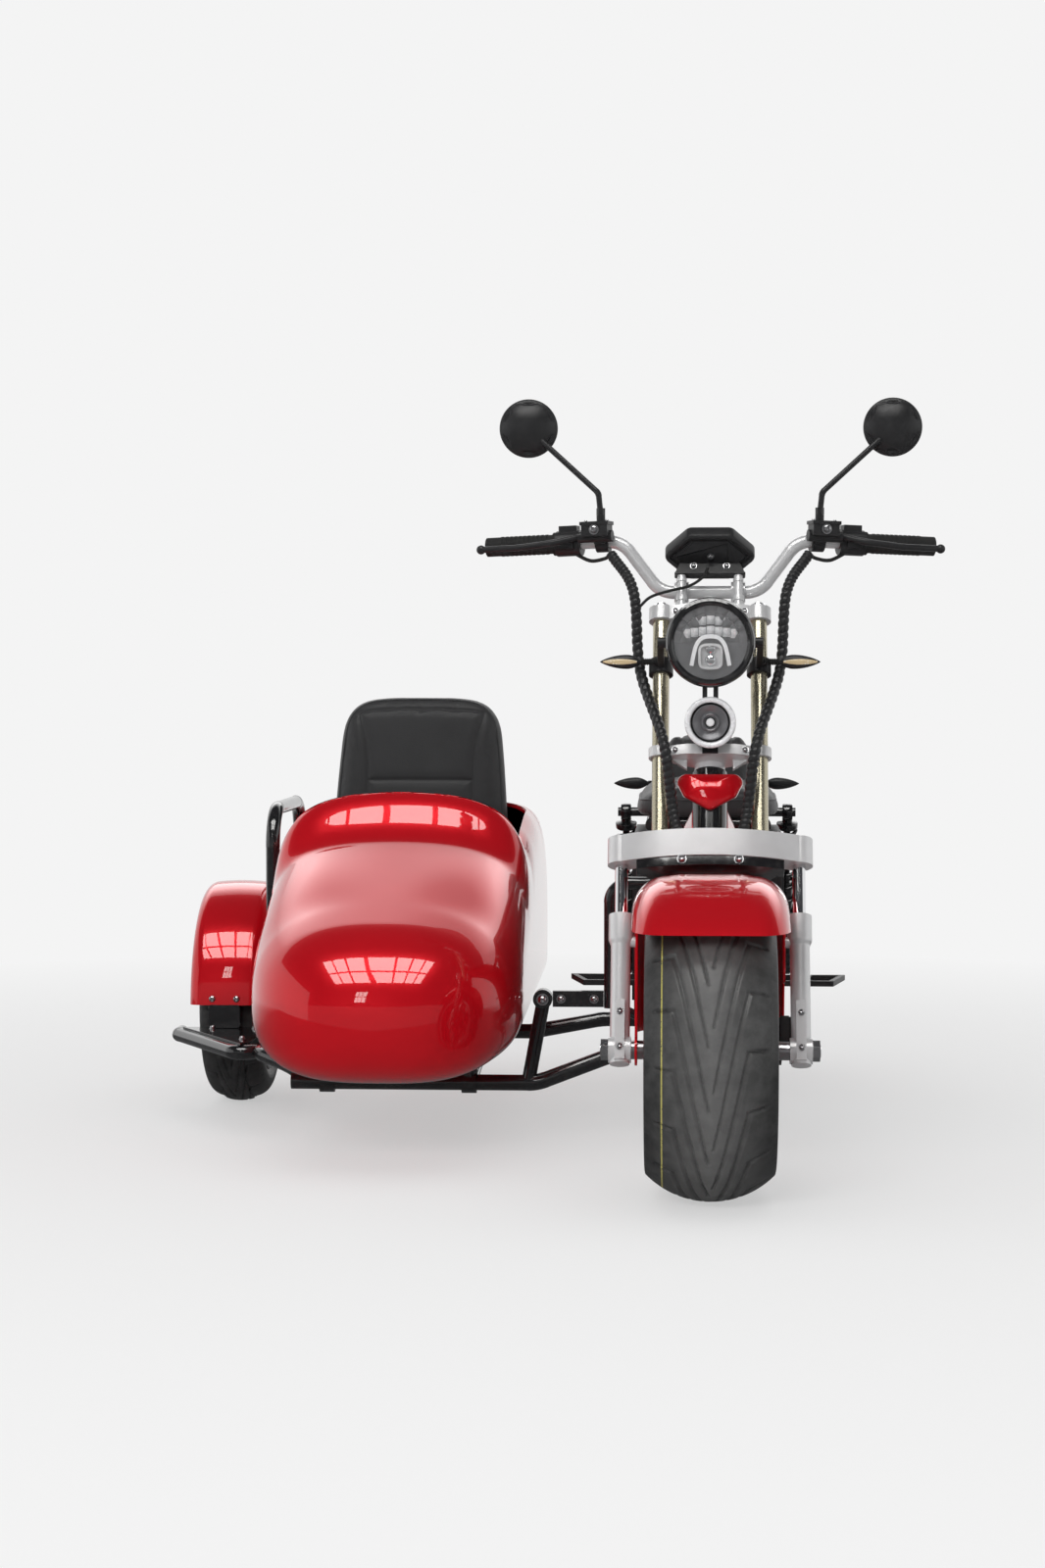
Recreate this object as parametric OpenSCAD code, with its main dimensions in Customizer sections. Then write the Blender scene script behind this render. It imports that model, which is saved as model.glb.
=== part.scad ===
// Sidecar motorcycle: an electric fat-tyre chopper with a one-seat tub on its right side.
// The front axle lies on y = 0, the bike's centre plane is x = 0 and the rider faces -Y.

/* [Wheels] */
// Outside diameter of the front and rear tyres
tyre_d = 477; // [420:1:560]
// Section width of the front and rear tyres
tyre_w = 206; // [180:1:258]
// Bead diameter of the front and rear rims
rim_d = 305; // [260:1:340]
// Distance between the front and rear axles
wheelbase = 1380; // [1300:1:1600]
// Outside diameter of the sidecar tyre
side_tyre_d = 398; // [360:1:430]
// Section width of the sidecar tyre
side_tyre_w = 118; // [90:1:124]
// Bead diameter of the sidecar rim
side_rim_d = 254; // [220:1:280]
// Diameter of all three axles
axle_d = 20; // [14:1:26]
// Number of spokes in the cast wheels
spokes = 5; // [3:1:9]

/* [Fork] */
// Rake of the fork from the vertical, in degrees
rake = 24; // [15:0.5:30]
// Distance of the steering axis behind the fork legs
fork_offset = 50; // [40:1:60]
// Gap between the front fender and a fork leg
leg_gap = 8; // [5:1:20]
// Diameter of a fork leg
leg_d = 32; // [30:1:40]
// Diameter of a chrome stanchion
stanchion_d = 21; // [18:1:27]
// Distance between the centres of the two upper fork tubes
upper_span = 164; // [140:1:190]
// Diameter of an upper fork tube
upper_d = 28; // [20:1:30]
// Gap along the fork between the front tyre and the black yoke
yoke_gap = 57.5; // [50:0.5:90]
// Distance of the middle clamp above the black yoke, along the fork
middle_up = 212; // [190:1:260]
// Distance of the top clamp above the middle clamp, along the fork
top_up = 250; // [200:1:300]
// Diameter of the steering stem
stem_d = 28; // [22:1:32]

/* [Handlebar] */
// Diameter of the bar
bar_d = 22.2; // [19:0.1:25.4]
// Rise of the grips over the clamped middle of the bar
bar_rise = 88; // [60:1:120]
// Half width of the bar at its ends
bar_half = 380; // [330:1:440]
// Distance the bar ends are swept back
bar_sweep = 70; // [40:1:110]
// Diameter of a rubber grip
grip_d = 33; // [29:1:38]
// Length of a rubber grip
grip_l = 126; // [100:1:140]
// Diameter of a mirror head
mirror_d = 100; // [80:1:120]

/* [Lamps and horn] */
// Diameter of the headlight rim
headlight_d = 145; // [120:1:160]
// Depth of the headlight bowl
headlight_depth = 92; // [75:1:100]
// Distance of the headlight's centre above the middle clamp, along the fork
headlight_up = 146.4; // [130:0.1:160]
// Diameter of the horn
horn_d = 83; // [60:1:95]

/* [Fenders] */
// Gap between a fender and its tyre, all round
fender_gap = 35; // [28:1:45]
// Wall thickness of a fender
fender_wall = 4; // [2:0.5:6]
// Clearance beside the tyre, inside a fender
fender_side = 13; // [10:1:20]

/* [Bike body] */
// Width of the battery case
case_w = 276; // [220:1:300]
// Front end of the battery case behind the front axle
case_y = 680; // [660:1:720]
// Length of the battery case
case_l = 305; // [240:1:310]
// Height of the seat rails over the rear tyre
rail_gap = 84; // [60:1:120]
// Height of the lower frame rails over the floor
sill_z = 205; // [190:1:230]
// Thickness of the rider seat
seat_h = 66; // [40:1:80]
// Height of the passenger seat over the seat rails
hump_h = 164; // [120:1:200]

/* [Sidecar] */
// Distance of the tub's centre plane from the bike's
tub_x = 556; // [540:1:660]
// Width of the tub
tub_w = 472; // [400:1:480]
// Foremost point of the tub behind the front axle
nose_y = 138; // [100:1:200]
// Length of the tub
tub_l = 1342; // [1250:1:1500]
// Height of the foredeck where it meets the cockpit
deck_z = 562; // [500:1:620]
// Height of the flared cowl lip over the foredeck
lip_h = 52; // [20:1:70]
// Wall thickness of the tub
tub_wall = 6; // [4:0.5:10]
// Distance of the sidecar wheel's centre plane from the bike's
side_x = 908; // [890:1:1000]
// Distance of the sidecar axle behind the front axle
side_y = 1050; // [1000:1:1100]
// Diameter of the sidecar chassis tubes
chassis_d = 28; // [22:1:32]
// Height of the grab rail over the floor
grab_z = 594; // [480:1:640]
// Height of the sidecar seat back over the floor
back_z = 792; // [700:1:860]

/* [Hidden] */
$fn = 64;
fit = 0.15;
seat_gap = 0.3;

red = [0.72, 0.06, 0.08];
black = [0.06, 0.06, 0.065];
rubber = [0.09, 0.09, 0.09];
silver = [0.75, 0.76, 0.78];
chrome = [0.85, 0.86, 0.88];
olive = [0.55, 0.5, 0.3];
amber = [0.95, 0.55, 0.1];
clear = [0.85, 0.88, 0.9];

front_r = tyre_d / 2;
yoke_t = front_r + yoke_gap;
middle_t = yoke_t + middle_up;
top_t = middle_t + top_up;
rail_z = tyre_d + rail_gap;
side_r = side_tyre_d / 2;
upper_x = upper_span / 2;
upper_y = 18;
leg_foot = 24;
leg_bore = 104;
lug_w = 36;
yoke_h = 16;
bridge_h = 46;
middle_h = 18;
top_h = 24;
bridge_t = yoke_t + yoke_h;
hub_half = 78;
disc_h = 4;
disc_r = 108;
nut_h = 13;
fender_half = tyre_w / 2 + fender_side + fender_wall;
fender_r = front_r + fender_gap + fender_wall;
leg_x = fender_half + leg_gap + leg_d / 2;
yoke_half = leg_x - stanchion_d / 2 - 14;
boss_t = fender_r - 96.5;
leg_top = boss_t + 45;
bar_y = 35;
bar_t = top_t + 64;
bar_c = [0, bar_y * cos(rake) + bar_t * sin(rake), front_r + bar_t * cos(rake) - bar_y * sin(rake)];
bar_in = [150, bar_c.y + 12, bar_c.z + bar_rise];
bar_out = [bar_half, bar_c.y + bar_sweep, bar_c.z + bar_rise - 8];
bar_l = norm(bar_out - bar_in);
riser_x = 48;
riser_h = bar_t - top_t - top_h;
post_h = 58;
mirror_at = [311, bar_in.y + 24, bar_in.z + 194];
light_at = on_fork(-127.1, middle_t + headlight_up);
light_y = light_at[0];
light_z = light_at[1];
horn_at = on_fork(-57.4, middle_t + 34);
horn_y = horn_at[0];
horn_z = horn_at[1];
head_at = on_fork(fork_offset + 19, (bridge_t + middle_t) / 2 + 5.5);
sill_d = 32;
sill_x = 76.3;
sill_end = 1010;
rail_d = 28;
rail_x = 100;
rail_front = case_y + 10;
rail_end = wheelbase - 50;
pivot_y = sill_end;
pivot_z = sill_z + 40;
arm_x = tyre_w / 2 + 26.5;
shock_x = arm_x + 30;
shock_y = wheelbase - 90;
case_top = rail_z - rail_d / 2 - seat_gap;
case_bottom = sill_z + sill_d / 2 + seat_gap;
cross_y = 480;
back_y = 950;
cross_z = 117;
out_z = 150;
low_z = sill_z - sill_d / 2 - chassis_d / 2 - seat_gap;
out_x = side_x - side_tyre_w / 2 - 37;
open_x = tub_x + 179;
tub_half = tub_w / 2;
tub_mid = 275;
tub_end = nose_y + tub_l;
cowl_y = 655;
cockpit_end = 1130;
base_y = 738;
base_l = 292;
base_z = 250;
seat_half = tub_half - tub_wall - 46;
side_fender_r = side_r + 28;
side_fender_half = side_tyre_w / 2 + 10;
place_at = [309, -711, 0];

// Distance back and height over the floor of a point on the fork, from its place behind the legs and up them
function on_fork(back, up) =
    [back * cos(rake) + up * sin(rake), front_r + up * cos(rake) - back * sin(rake)];

// Unit vector along v
function unit(v) = v / norm(v);

// Value that runs smoothly from 0 to 1 while t does
function ease(t) = t <= 0 ? 0 : t >= 1 ? 1 : t * t * (3 - 2 * t);

// Superellipse: height over the middle at the share t of the half width
function super(t, n) = pow(max(0, 1 - pow(min(1, abs(t)), n)), 1 / n);

// Shifts the whole vehicle so that the middle of its outline is over the origin
module place() {
    translate(place_at) children();
}

// Frame of the fork: z runs up along the legs from the axle, y points back
module fork_frame() {
    translate([0, 0, front_r]) rotate([-rake, 0, 0]) children();
}

// Both halves of a pair about the bike's centre plane
module both() {
    children();
    mirror([1, 0, 0]) children();
}

// Frame of one handlebar end: z runs outwards along the bar from its bend, y points back
module bar_frame() {
    d = bar_out - bar_in;
    translate(bar_in) rotate([0, 0, atan2(d.y, d.x)]) rotate([0, 90 - asin(d.z / bar_l), 0]) children();
}

// Round rod between two points
module rod(p, q, r) {
    d = q - p;
    translate(p) rotate([0, acos(d.z / norm(d)), atan2(d.y, d.x)]) cylinder(r = r, h = norm(d));
}

// Round tube bent at one radius along a chain of points
module bent_tube(route, bend, r) {
    p = [for (q = route) q - route[0]];
    n = len(p);
    u = [for (i = [0:n - 2]) unit(p[i + 1] - p[i])];
    turn = [for (i = [0:n - 3]) acos(u[i] * u[i + 1])];
    cut = concat([0], [for (a = turn) bend * tan(a / 2)], [0]);
    lap = [for (i = [0:n - 1]) i == 0 || i == n - 1 ? 0 : 0.1];
    translate(route[0]) {
        for (i = [0:n - 2])
            rod(p[i] + u[i] * (cut[i] - lap[i]), p[i + 1] - u[i] * (cut[i + 1] - lap[i + 1]), r);
        for (i = [0:n - 3]) {
            s = unit(u[i + 1] - u[i] * (u[i] * u[i + 1]));
            c = p[i + 1] - u[i] * cut[i + 1] + s * bend;
            w = cross(-s, u[i]);
            multmatrix([[-s.x, u[i].x, w.x, c.x], [-s.y, u[i].y, w.y, c.y],
                        [-s.z, u[i].z, w.z, c.z], [0, 0, 0, 1]])
                rotate_extrude(angle = turn[i]) translate([bend, 0]) circle(r + 0.35);
        }
    }
}

// Tyre with a round crown, bulged sidewalls and a seat for the rim's flanges
module tyre(d, w, bead) {
    side = 0.28 * w;
    mid = bead / 2 + 0.42 * (d - bead) / 2;
    rotate([0, 90, 0]) rotate_extrude($fn = 96) difference() {
        intersection() {
            translate([d / 2 - 0.7 * w, 0]) circle(0.7 * w);
            union() {
                translate([0, side - w / 2]) square([d / 2, w - 2 * side]);
                for (s = [-1, 1]) translate([mid, s * (w / 2 - side)]) circle(side);
            }
        }
        translate([-d, -w]) square([d + bead / 2, 2 * w]);
        for (s = [0, 1]) mirror([0, s]) translate([-d, 0.44 * w - fit]) square([d + bead / 2 + 9 + fit, w]);
    }
}

// Cast wheel: barrel, flanges, tapered twin spokes and a bored hub
module cast_wheel(w, bead, hub_r, half, spoke_h) {
    rotate([0, 90, 0]) difference() {
        union() {
            rotate_extrude($fn = 96) {
                translate([bead / 2 - 13, -0.47 * w]) square([13 - fit, 0.94 * w]);
                for (s = [0, 1]) mirror([0, s]) translate([bead / 2 - 6, 0.44 * w]) square([15, 0.03 * w]);
            }
            translate([0, 0, -half]) cylinder(r = hub_r, h = 2 * half);
            translate([0, 0, -spoke_h / 2]) linear_extrude(spoke_h)
                for (i = [0:spokes - 1]) rotate(i * 360 / spokes) difference() {
                    polygon([[hub_r - 4, -16], [bead / 2 - 9, -26], [bead / 2 - 9, 26], [hub_r - 4, 16]]);
                    polygon([[hub_r + 14, -4], [bead / 2 - 22, -13], [bead / 2 - 22, 13], [hub_r + 14, 4]]);
                }
        }
        translate([0, 0, -half - 1]) cylinder(d = axle_d + 2 * fit, h = 2 * half + 2);
    }
}

// Section of a fender across its tyre: crown, round shoulders and straight skirts
function arch(r, half, bend, skirt) =
    concat([[r - skirt, -half]],
           [for (a = [180:-15:90]) [r - bend + bend * sin(a), 0] + [0, bend - half + bend * cos(a)]],
           [for (a = [90:-15:0]) [r - bend + bend * sin(a), half - bend + bend * cos(a)]],
           [[r - skirt, half]]);

// Arched fender shell round an axle along X, from one angle to another over the top
module fender_shell(r, half, bend, skirt, from, to) {
    rotate([0, -90, 0]) rotate([0, 0, 90 - to]) rotate_extrude(angle = to - from, $fn = 96) difference() {
        polygon(arch(r, half, bend, skirt));
        polygon(concat([[r - skirt - 1, fender_wall - half]],
                       arch(r - fender_wall, half - fender_wall, bend - fender_wall, skirt - fender_wall),
                       [[r - skirt - 1, half - fender_wall]]));
    }
}

// Spindle-shaped lamp body along z
module spindle(l, r) {
    big = (l * l / 4 + r * r) / (2 * r);
    rotate_extrude() intersection() {
        translate([r - big, l / 2]) circle(big, $fn = 128);
        square([r, l]);
    }
}

module front_tyre() {
    color(rubber) translate([0, 0, front_r]) tyre(tyre_d, tyre_w, rim_d);
}

module front_rim() {
    color(silver) translate([0, 0, front_r]) cast_wheel(tyre_w, rim_d, 42, hub_half, 46);
}

module front_brake_disc() {
    color(chrome) translate([hub_half, 0, front_r]) rotate([0, 90, 0]) difference() {
        cylinder(r = disc_r, h = disc_h);
        translate([0, 0, -1]) cylinder(d = axle_d + 1, h = disc_h + 2);
        for (i = [0:17], k = [0, 1])
            rotate(i * 20 + k * 10) translate([84 + 13 * k, 0, -1]) cylinder(d = 7, h = disc_h + 2, $fn = 24);
        for (i = [0:5]) rotate(i * 60) translate([58, 0, -1]) cylinder(d = 22, h = disc_h + 2, $fn = 32);
    }
}

module front_axle() {
    reach = leg_x + lug_w / 2;
    color(silver) translate([0, 0, front_r]) rotate([0, 90, 0]) {
        translate([0, 0, -reach - nut_h]) cylinder(d = axle_d, h = 2 * (reach + nut_h));
        translate([0, 0, -reach - nut_h + 1]) cylinder(d = 1.7 * axle_d, h = nut_h - 1 - seat_gap, $fn = 6);
        translate([0, 0, reach + seat_gap]) cylinder(d = 1.7 * axle_d, h = nut_h - 1 - seat_gap, $fn = 6);
        translate([0, 0, hub_half + disc_h + seat_gap])
            cylinder(d = 1.5 * axle_d, h = leg_x - lug_w / 2 - hub_half - disc_h - 2 * seat_gap);
        translate([0, 0, lug_w / 2 - leg_x + seat_gap])
            cylinder(d = 1.5 * axle_d, h = leg_x - lug_w / 2 - hub_half - 2 * seat_gap);
    }
}

module fork_legs() {
    color(silver) fork_frame() both() translate([leg_x, 0, 0]) difference() {
        union() {
            translate([0, 0, -leg_foot]) cylinder(d = leg_d, h = leg_foot + leg_top);
            translate([0, 0, leg_top - 42]) cylinder(d = leg_d + 8, h = 42);
            translate([0, 0, leg_top - 54]) cylinder(d1 = leg_d - 1, d2 = leg_d + 8, h = 12);
            rotate([0, 90, 0]) cylinder(d = 2.1 * axle_d, h = lug_w, center = true);
            translate([-8, -leg_d / 2 - 5, -leg_foot + 4]) cube([16, 12, 98]);
            translate([0, 0, boss_t]) rotate([0, -90, 0])
                cylinder(d = 17, h = leg_x - fender_half - seat_gap);
        }
        translate([0, 0, leg_top - leg_bore]) cylinder(d = stanchion_d + 2 * fit, h = leg_bore + 1);
        rotate([0, 90, 0]) cylinder(d = axle_d + 2 * fit, h = 2 * lug_w, center = true);
    }
}

module fork_stanchions() {
    foot = leg_top - leg_bore + seat_gap;
    color(chrome) fork_frame() both() translate([leg_x, 0, foot])
        cylinder(d = stanchion_d, h = bridge_t + bridge_h + 2 - foot);
}

// Plan of the bowed bar over the fork legs
module bow(wide, swell) {
    mid = 320;
    back = sqrt(mid * mid - leg_x * leg_x);
    translate([0, back]) intersection() {
        difference() {
            circle(mid + wide / 2, $fn = 128);
            circle(mid - wide / 2, $fn = 128);
        }
        translate([-leg_x, -2 * mid]) square([2 * leg_x, 2 * mid]);
    }
    for (s = [-1, 1]) translate([s * leg_x, 0]) circle(wide / 2 + swell);
}

module lower_yoke() {
    color(black) fork_frame() translate([0, 0, yoke_t]) difference() {
        linear_extrude(yoke_h) {
            intersection() {
                bow(36, 0);
                square([2 * yoke_half, 400], center = true);
            }
            translate([0, fork_offset]) circle(stem_d / 2 + 20);
            polygon([[-yoke_half, -22], [yoke_half, -22], [upper_x + 10, 36],
                     [stem_d, fork_offset + 22], [-stem_d, fork_offset + 22], [-upper_x - 10, 36]]);
        }
        translate([0, fork_offset, -1]) cylinder(d = stem_d + 2 * fit, h = yoke_h + 2);
    }
}

module fork_bridge() {
    color(silver) fork_frame() translate([0, 0, bridge_t]) difference() {
        linear_extrude(bridge_h) bow(42, 2);
        for (s = [-1, 1])
            translate([s * leg_x, 0, -1]) cylinder(d = stanchion_d + 2 * fit, h = bridge_h + 2);
    }
}

module fork_upper_tubes() {
    color(olive) fork_frame() both() translate([upper_x, upper_y, bridge_t])
        cylinder(d = upper_d, h = top_t + top_h + 4 - bridge_t);
}

// Plan of a clamp that joins the upper tubes and a boss on the steering axis
module clamp_plan(wall, boss_r) {
    for (s = [-1, 1]) translate([s * upper_x, upper_y]) circle(upper_d / 2 + wall);
    translate([0, fork_offset]) circle(boss_r);
    polygon([[-upper_x, upper_y - 11], [-40, upper_y - 24], [40, upper_y - 24], [upper_x, upper_y - 11],
             [upper_x, upper_y + 11], [boss_r - 3, fork_offset + 8], [3 - boss_r, fork_offset + 8],
             [-upper_x, upper_y + 11]]);
}

module middle_clamp() {
    color(silver) fork_frame() translate([0, 0, middle_t]) difference() {
        union() {
            linear_extrude(middle_h) clamp_plan(6, 28);
            translate([0, fork_offset, -10]) cylinder(r = 25, h = 12);
            for (s = [0, 1]) mirror([s, 0, 0]) translate([0, upper_y + 12, 0]) rotate([90, 0, 0])
                linear_extrude(9) polygon([[38, 1], [upper_x - upper_d / 2 - 4, 1], [38, -17]]);
        }
        for (s = [-1, 1])
            translate([s * upper_x, upper_y, -1]) cylinder(d = upper_d + 2 * fit, h = middle_h + 2);
        translate([0, fork_offset, -11]) cylinder(d = stem_d + 2 * fit, h = middle_h + 12);
    }
}

module top_clamp() {
    color(silver) fork_frame() translate([0, 0, top_t]) difference() {
        union() {
            linear_extrude(top_h) clamp_plan(7, 24);
            translate([0, fork_offset, top_h - 1]) cylinder(d1 = 44, d2 = 38, h = 15);
            for (s = [-1, 1]) translate([s * riser_x, bar_y - 26, top_h - 1]) {
                cylinder(d = 15, h = post_h + 1);
                translate([0, 0, 12]) cylinder(d = 19, h = 9);
                translate([0, 0, post_h - 11]) cylinder(d = 18, h = 6);
            }
            for (s = [-1, 1]) translate([s * riser_x, bar_y, 0]) {
                translate([0, 0, top_h - 1]) cylinder(r = 11, h = riser_h + 1);
                translate([0, 0, top_h + riser_h]) rotate([0, 90, 0])
                    cylinder(d = bar_d + 13, h = 24, center = true);
            }
        }
        for (s = [-1, 1])
            translate([s * upper_x, upper_y, -1]) cylinder(d = upper_d + 2 * fit, h = top_h + 2);
        translate([0, bar_y, top_h + riser_h]) rotate([0, 90, 0])
            cylinder(d = bar_d + 2 * fit, h = 3 * riser_x, center = true);
    }
}

module steering_stem() {
    foot = yoke_t - 12;
    head = middle_t + middle_h + 14;
    color(silver) fork_frame() translate([0, fork_offset, 0]) {
        translate([0, 0, foot]) cylinder(d = stem_d, h = head - foot);
        translate([0, 0, foot]) cylinder(d = 1.6 * stem_d, h = yoke_t - seat_gap - foot, $fn = 6);
        translate([0, 0, middle_t + middle_h + seat_gap]) cylinder(d = 1.6 * stem_d, h = 11, $fn = 6);
    }
}

module handlebar() {
    mid = [84, bar_c.y, bar_c.z];
    flip = function (p) [-p.x, p.y, p.z];
    color(silver) bent_tube([flip(bar_out), flip(bar_in), flip(mid), mid, bar_in, bar_out], 46, bar_d / 2);
}

module grips() {
    color(rubber) both() bar_frame() translate([0, 0, bar_l - grip_l + 4]) difference() {
        union() {
            cylinder(d = grip_d, h = grip_l);
            cylinder(d = grip_d + 7, h = 5);
            for (i = [1:11]) translate([0, 0, 8 * i + 8]) cylinder(d = grip_d + 1.6, h = 4);
        }
        translate([0, 0, -1]) cylinder(d = bar_d + 2 * fit, h = grip_l - 3 + seat_gap);
    }
}

module switch_pods() {
    l = 44;
    at = bar_l - grip_l + 4 - seat_gap - l;
    color(black) both() bar_frame() translate([0, 0, at]) difference() {
        union() {
            cylinder(d = bar_d + 22, h = l);
            translate([-30, -12, 6]) cube([30, 24, l - 12]);
            translate([-8, -26, 9]) cube([18, 16, l - 18]);
        }
        translate([0, 0, -1]) cylinder(d = bar_d + 2 * fit, h = l + 2);
    }
}

module brake_masters() {
    color(black) both() bar_frame() translate([0, 0, 22]) difference() {
        union() {
            cylinder(d = bar_d + 14, h = 22);
            translate([-30, -50, -10]) cube([22, 34, 46]);
            translate([-33, -52, -12]) cube([6, 38, 50]);
            translate([-8, -30, -14]) cylinder(d = 20, h = 60);
            translate([-10, -28, 2]) cube([14, 20, 18]);
            translate([-44, -22, 8]) rotate([0, 90, 0]) cylinder(d = 15, h = 40);
        }
        translate([0, 0, -20]) cylinder(d = bar_d + 1, h = 80);
    }
}

module brake_levers() {
    tip = bar_l + 2;
    color(black) both() bar_frame() {
        bent_tube([[-8, -30, 71], [0, -52, 102], [6, -52, 170], [6, -44, tip]], 30, 5.5);
        translate([6, -44, tip]) sphere(r = 8, $fn = 32);
    }
}

// Point beside the bar's bend, by its distance down, back and along the bar
function on_bar(down, back, along) =
    let (e = unit(bar_out - bar_in), b = unit(cross([0, 0, 1], e)))
    bar_in + along * e + back * b - down * cross(e, b);

mirror_foot = on_bar(-44 - seat_gap, -22, 30);
mirror_knee = [mirror_foot.x + 4, mirror_foot.y, mirror_foot.z + 38];
mirror_neck = [mirror_at.x - 14, mirror_at.y - 10, mirror_at.z - 14];

module mirror_stalks() {
    color(black) both() {
        bent_tube([mirror_foot, mirror_knee, mirror_neck], 14, 5);
        translate(mirror_foot) cylinder(d = 15, h = 12, $fn = 6);
    }
}

module mirror_shells() {
    r = mirror_d / 2;
    color(black) both() difference() {
        translate(mirror_at) rotate([90, 0, 0]) difference() {
            union() {
                rotate_extrude() {
                    intersection() {
                        translate([0, 24 - 1.35 * r]) circle(1.35 * r, $fn = 128);
                        square([r - 3, 2 * r]);
                    }
                    translate([0, -6]) square([r, 10]);
                }
            }
            translate([0, 0, -8]) cylinder(r = r - 4, h = 5);
            for (i = [0:5]) rotate(60 * i + 30) translate([r + 13, 0, 6]) cylinder(r = 24, h = 40);
        }
        rod(mirror_knee, mirror_neck + 0.3 * unit(mirror_neck - mirror_knee), 5 + fit);
    }
}

module mirror_glasses() {
    color(clear) both() translate(mirror_at) rotate([90, 0, 0]) translate([0, 0, -5.5])
        cylinder(r = mirror_d / 2 - 4 - fit, h = 2.5 - seat_gap);
}

module display() {
    tilt = 38;
    foot = top_t + top_h + post_h + seat_gap;
    color(black) fork_frame() translate([0, bar_y - 26, foot]) {
        translate([-riser_x - 12, -10, 0]) cube([2 * riser_x + 24, 20, 4]);
        rotate([90, 0, 0]) translate([0, 0, -2]) linear_extrude(4)
            polygon([[-riser_x - 12, 0], [riser_x + 12, 0], [riser_x - 4, 44], [4 - riser_x, 44]]);
    }
    color(black) translate([0, bar_c.y - 6, bar_c.z + 66]) rotate([tilt, 0, 0]) rotate([90, 0, 0])
        translate([0, 0, -14]) linear_extrude(28) hull()
            for (a = [0:60:300]) translate([61 * cos(a), 36 * sin(a)]) circle(15, $fn = 24);
}

module headlight_bracket() {
    ear_y = light_y + 45;
    back = ear_y * cos(rake) - (light_z - front_r) * sin(rake);
    up = ear_y * sin(rake) + (light_z - front_r) * cos(rake);
    color(black) fork_frame() both() translate([upper_x, upper_y, up]) difference() {
        union() {
            translate([0, 0, -13]) cylinder(d = upper_d + 13, h = 26);
            translate([-5, back - upper_y, -7]) cube([10, upper_y - back - 8, 14]);
            translate([5, back - upper_y, 0]) rotate([0, -90, 0])
                cylinder(r = 9, h = upper_x + 5 - headlight_d / 2 + 4 - seat_gap);
        }
        translate([0, 0, -14]) cylinder(d = upper_d + 2 * fit, h = 28);
    }
}

module headlight_shell() {
    r = headlight_d / 2;
    color(black) translate([0, light_y, light_z]) rotate([-90, 0, 0]) rotate_extrude() difference() {
        union() {
            translate([0, 0]) square([r, 22]);
            intersection() {
                translate([0, headlight_depth - 1.05 * r]) circle(1.05 * r, $fn = 128);
                translate([0, 4]) square([r - 4, headlight_depth]);
            }
        }
        translate([-1, -1]) square([r - 6, 7]);
        intersection() {
            translate([0, headlight_depth - 1.05 * r - 6]) circle(1.05 * r, $fn = 128);
            translate([-1, 5]) square([r - 10, headlight_depth]);
        }
    }
}

module headlight_lens() {
    r = headlight_d / 2 - 7 - fit;
    color(clear) translate([0, light_y + 1, light_z]) rotate([-90, 0, 0])
        cylinder(r = r, h = 5 - seat_gap);
}

module horn() {
    r = horn_d / 2;
    color(chrome) translate([0, horn_y, horn_z]) rotate([-90, 0, 0]) {
        rotate_extrude() difference() {
            square([r, 34]);
            polygon([[-1, -1], [r - 5, -1], [r - 5, 4], [10, 15], [-1, 15]]);
        }
        translate([0, 0, 8]) cylinder(r = 9, h = 9);
        translate([0, 0, 32]) cylinder(r = 9, h = 22);
    }
    color(black) fork_frame() translate([-13, upper_y - 28 - seat_gap, middle_t]) cube([26, 4, 66]);
    hung = light_z - headlight_d / 2 + 4 - seat_gap - horn_z - r + 6;
    color(black) for (x = [-13, 5]) translate([x, light_y + 24, horn_z + r - 6]) cube([8, 6, hung]);
}

module front_indicators() {
    color(amber) fork_frame() both() translate([upper_x + 5 + seat_gap, upper_y - 26, middle_t + 165])
        rotate([0, 90, 0]) {
            cylinder(d = 12, h = 22);
            translate([0, 0, 18]) spindle(80, 12);
        }
}

module front_fender() {
    r = fender_r;
    color(red) difference() {
        union() {
            difference() {
                translate([0, 0, front_r]) fender_shell(r, fender_half, 54, 62, 0, 150);
                translate([-fender_half - 1, -2 * r, 0])
                    cube([2 * fender_half + 2, 2 * r, front_r + r - 77.5]);
            }
            translate([0, 0, front_r]) rotate([0, -90, 0]) rotate([0, 0, -32])
                rotate_extrude(angle = 66, $fn = 96)
                    polygon([[r - 2, -62], [r + 1, -62], [r + 3, -57], [r + 3, 57], [r + 1, 62],
                             [r - 2, 62]]);
            fork_frame() {
                translate([fender_half - fender_wall, -20, boss_t - 68]) cube([fender_wall, 40, 112]);
                translate([-fender_half, -20, 16]) cube([fender_wall, 40, boss_t + 28]);
                translate([-fender_half, 0, 0]) rotate([0, 90, 0]) cylinder(r = 25, h = fender_wall);
            }
        }
        translate([-2 * fender_half, 0, front_r]) rotate([0, 90, 0])
            cylinder(d = 1.5 * axle_d + 2 * fit, h = 2 * fender_half);
    }
}

module brake_caliper() {
    color(black) fork_frame() difference() {
        union() {
            translate([hub_half - 16, 58, 8]) cube([54, 50, 66]);
            translate([hub_half + 34, leg_d / 2 + seat_gap, 16]) cube([14, 80, 48]);
            translate([hub_half + 40, leg_d / 2 + seat_gap, 22]) cube([leg_x - hub_half - 32, 18, 40]);
        }
        translate([hub_half - 5.5, 0, 0]) rotate([0, 90, 0]) cylinder(r = disc_r + 6, h = disc_h + 11);
    }
}

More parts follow.
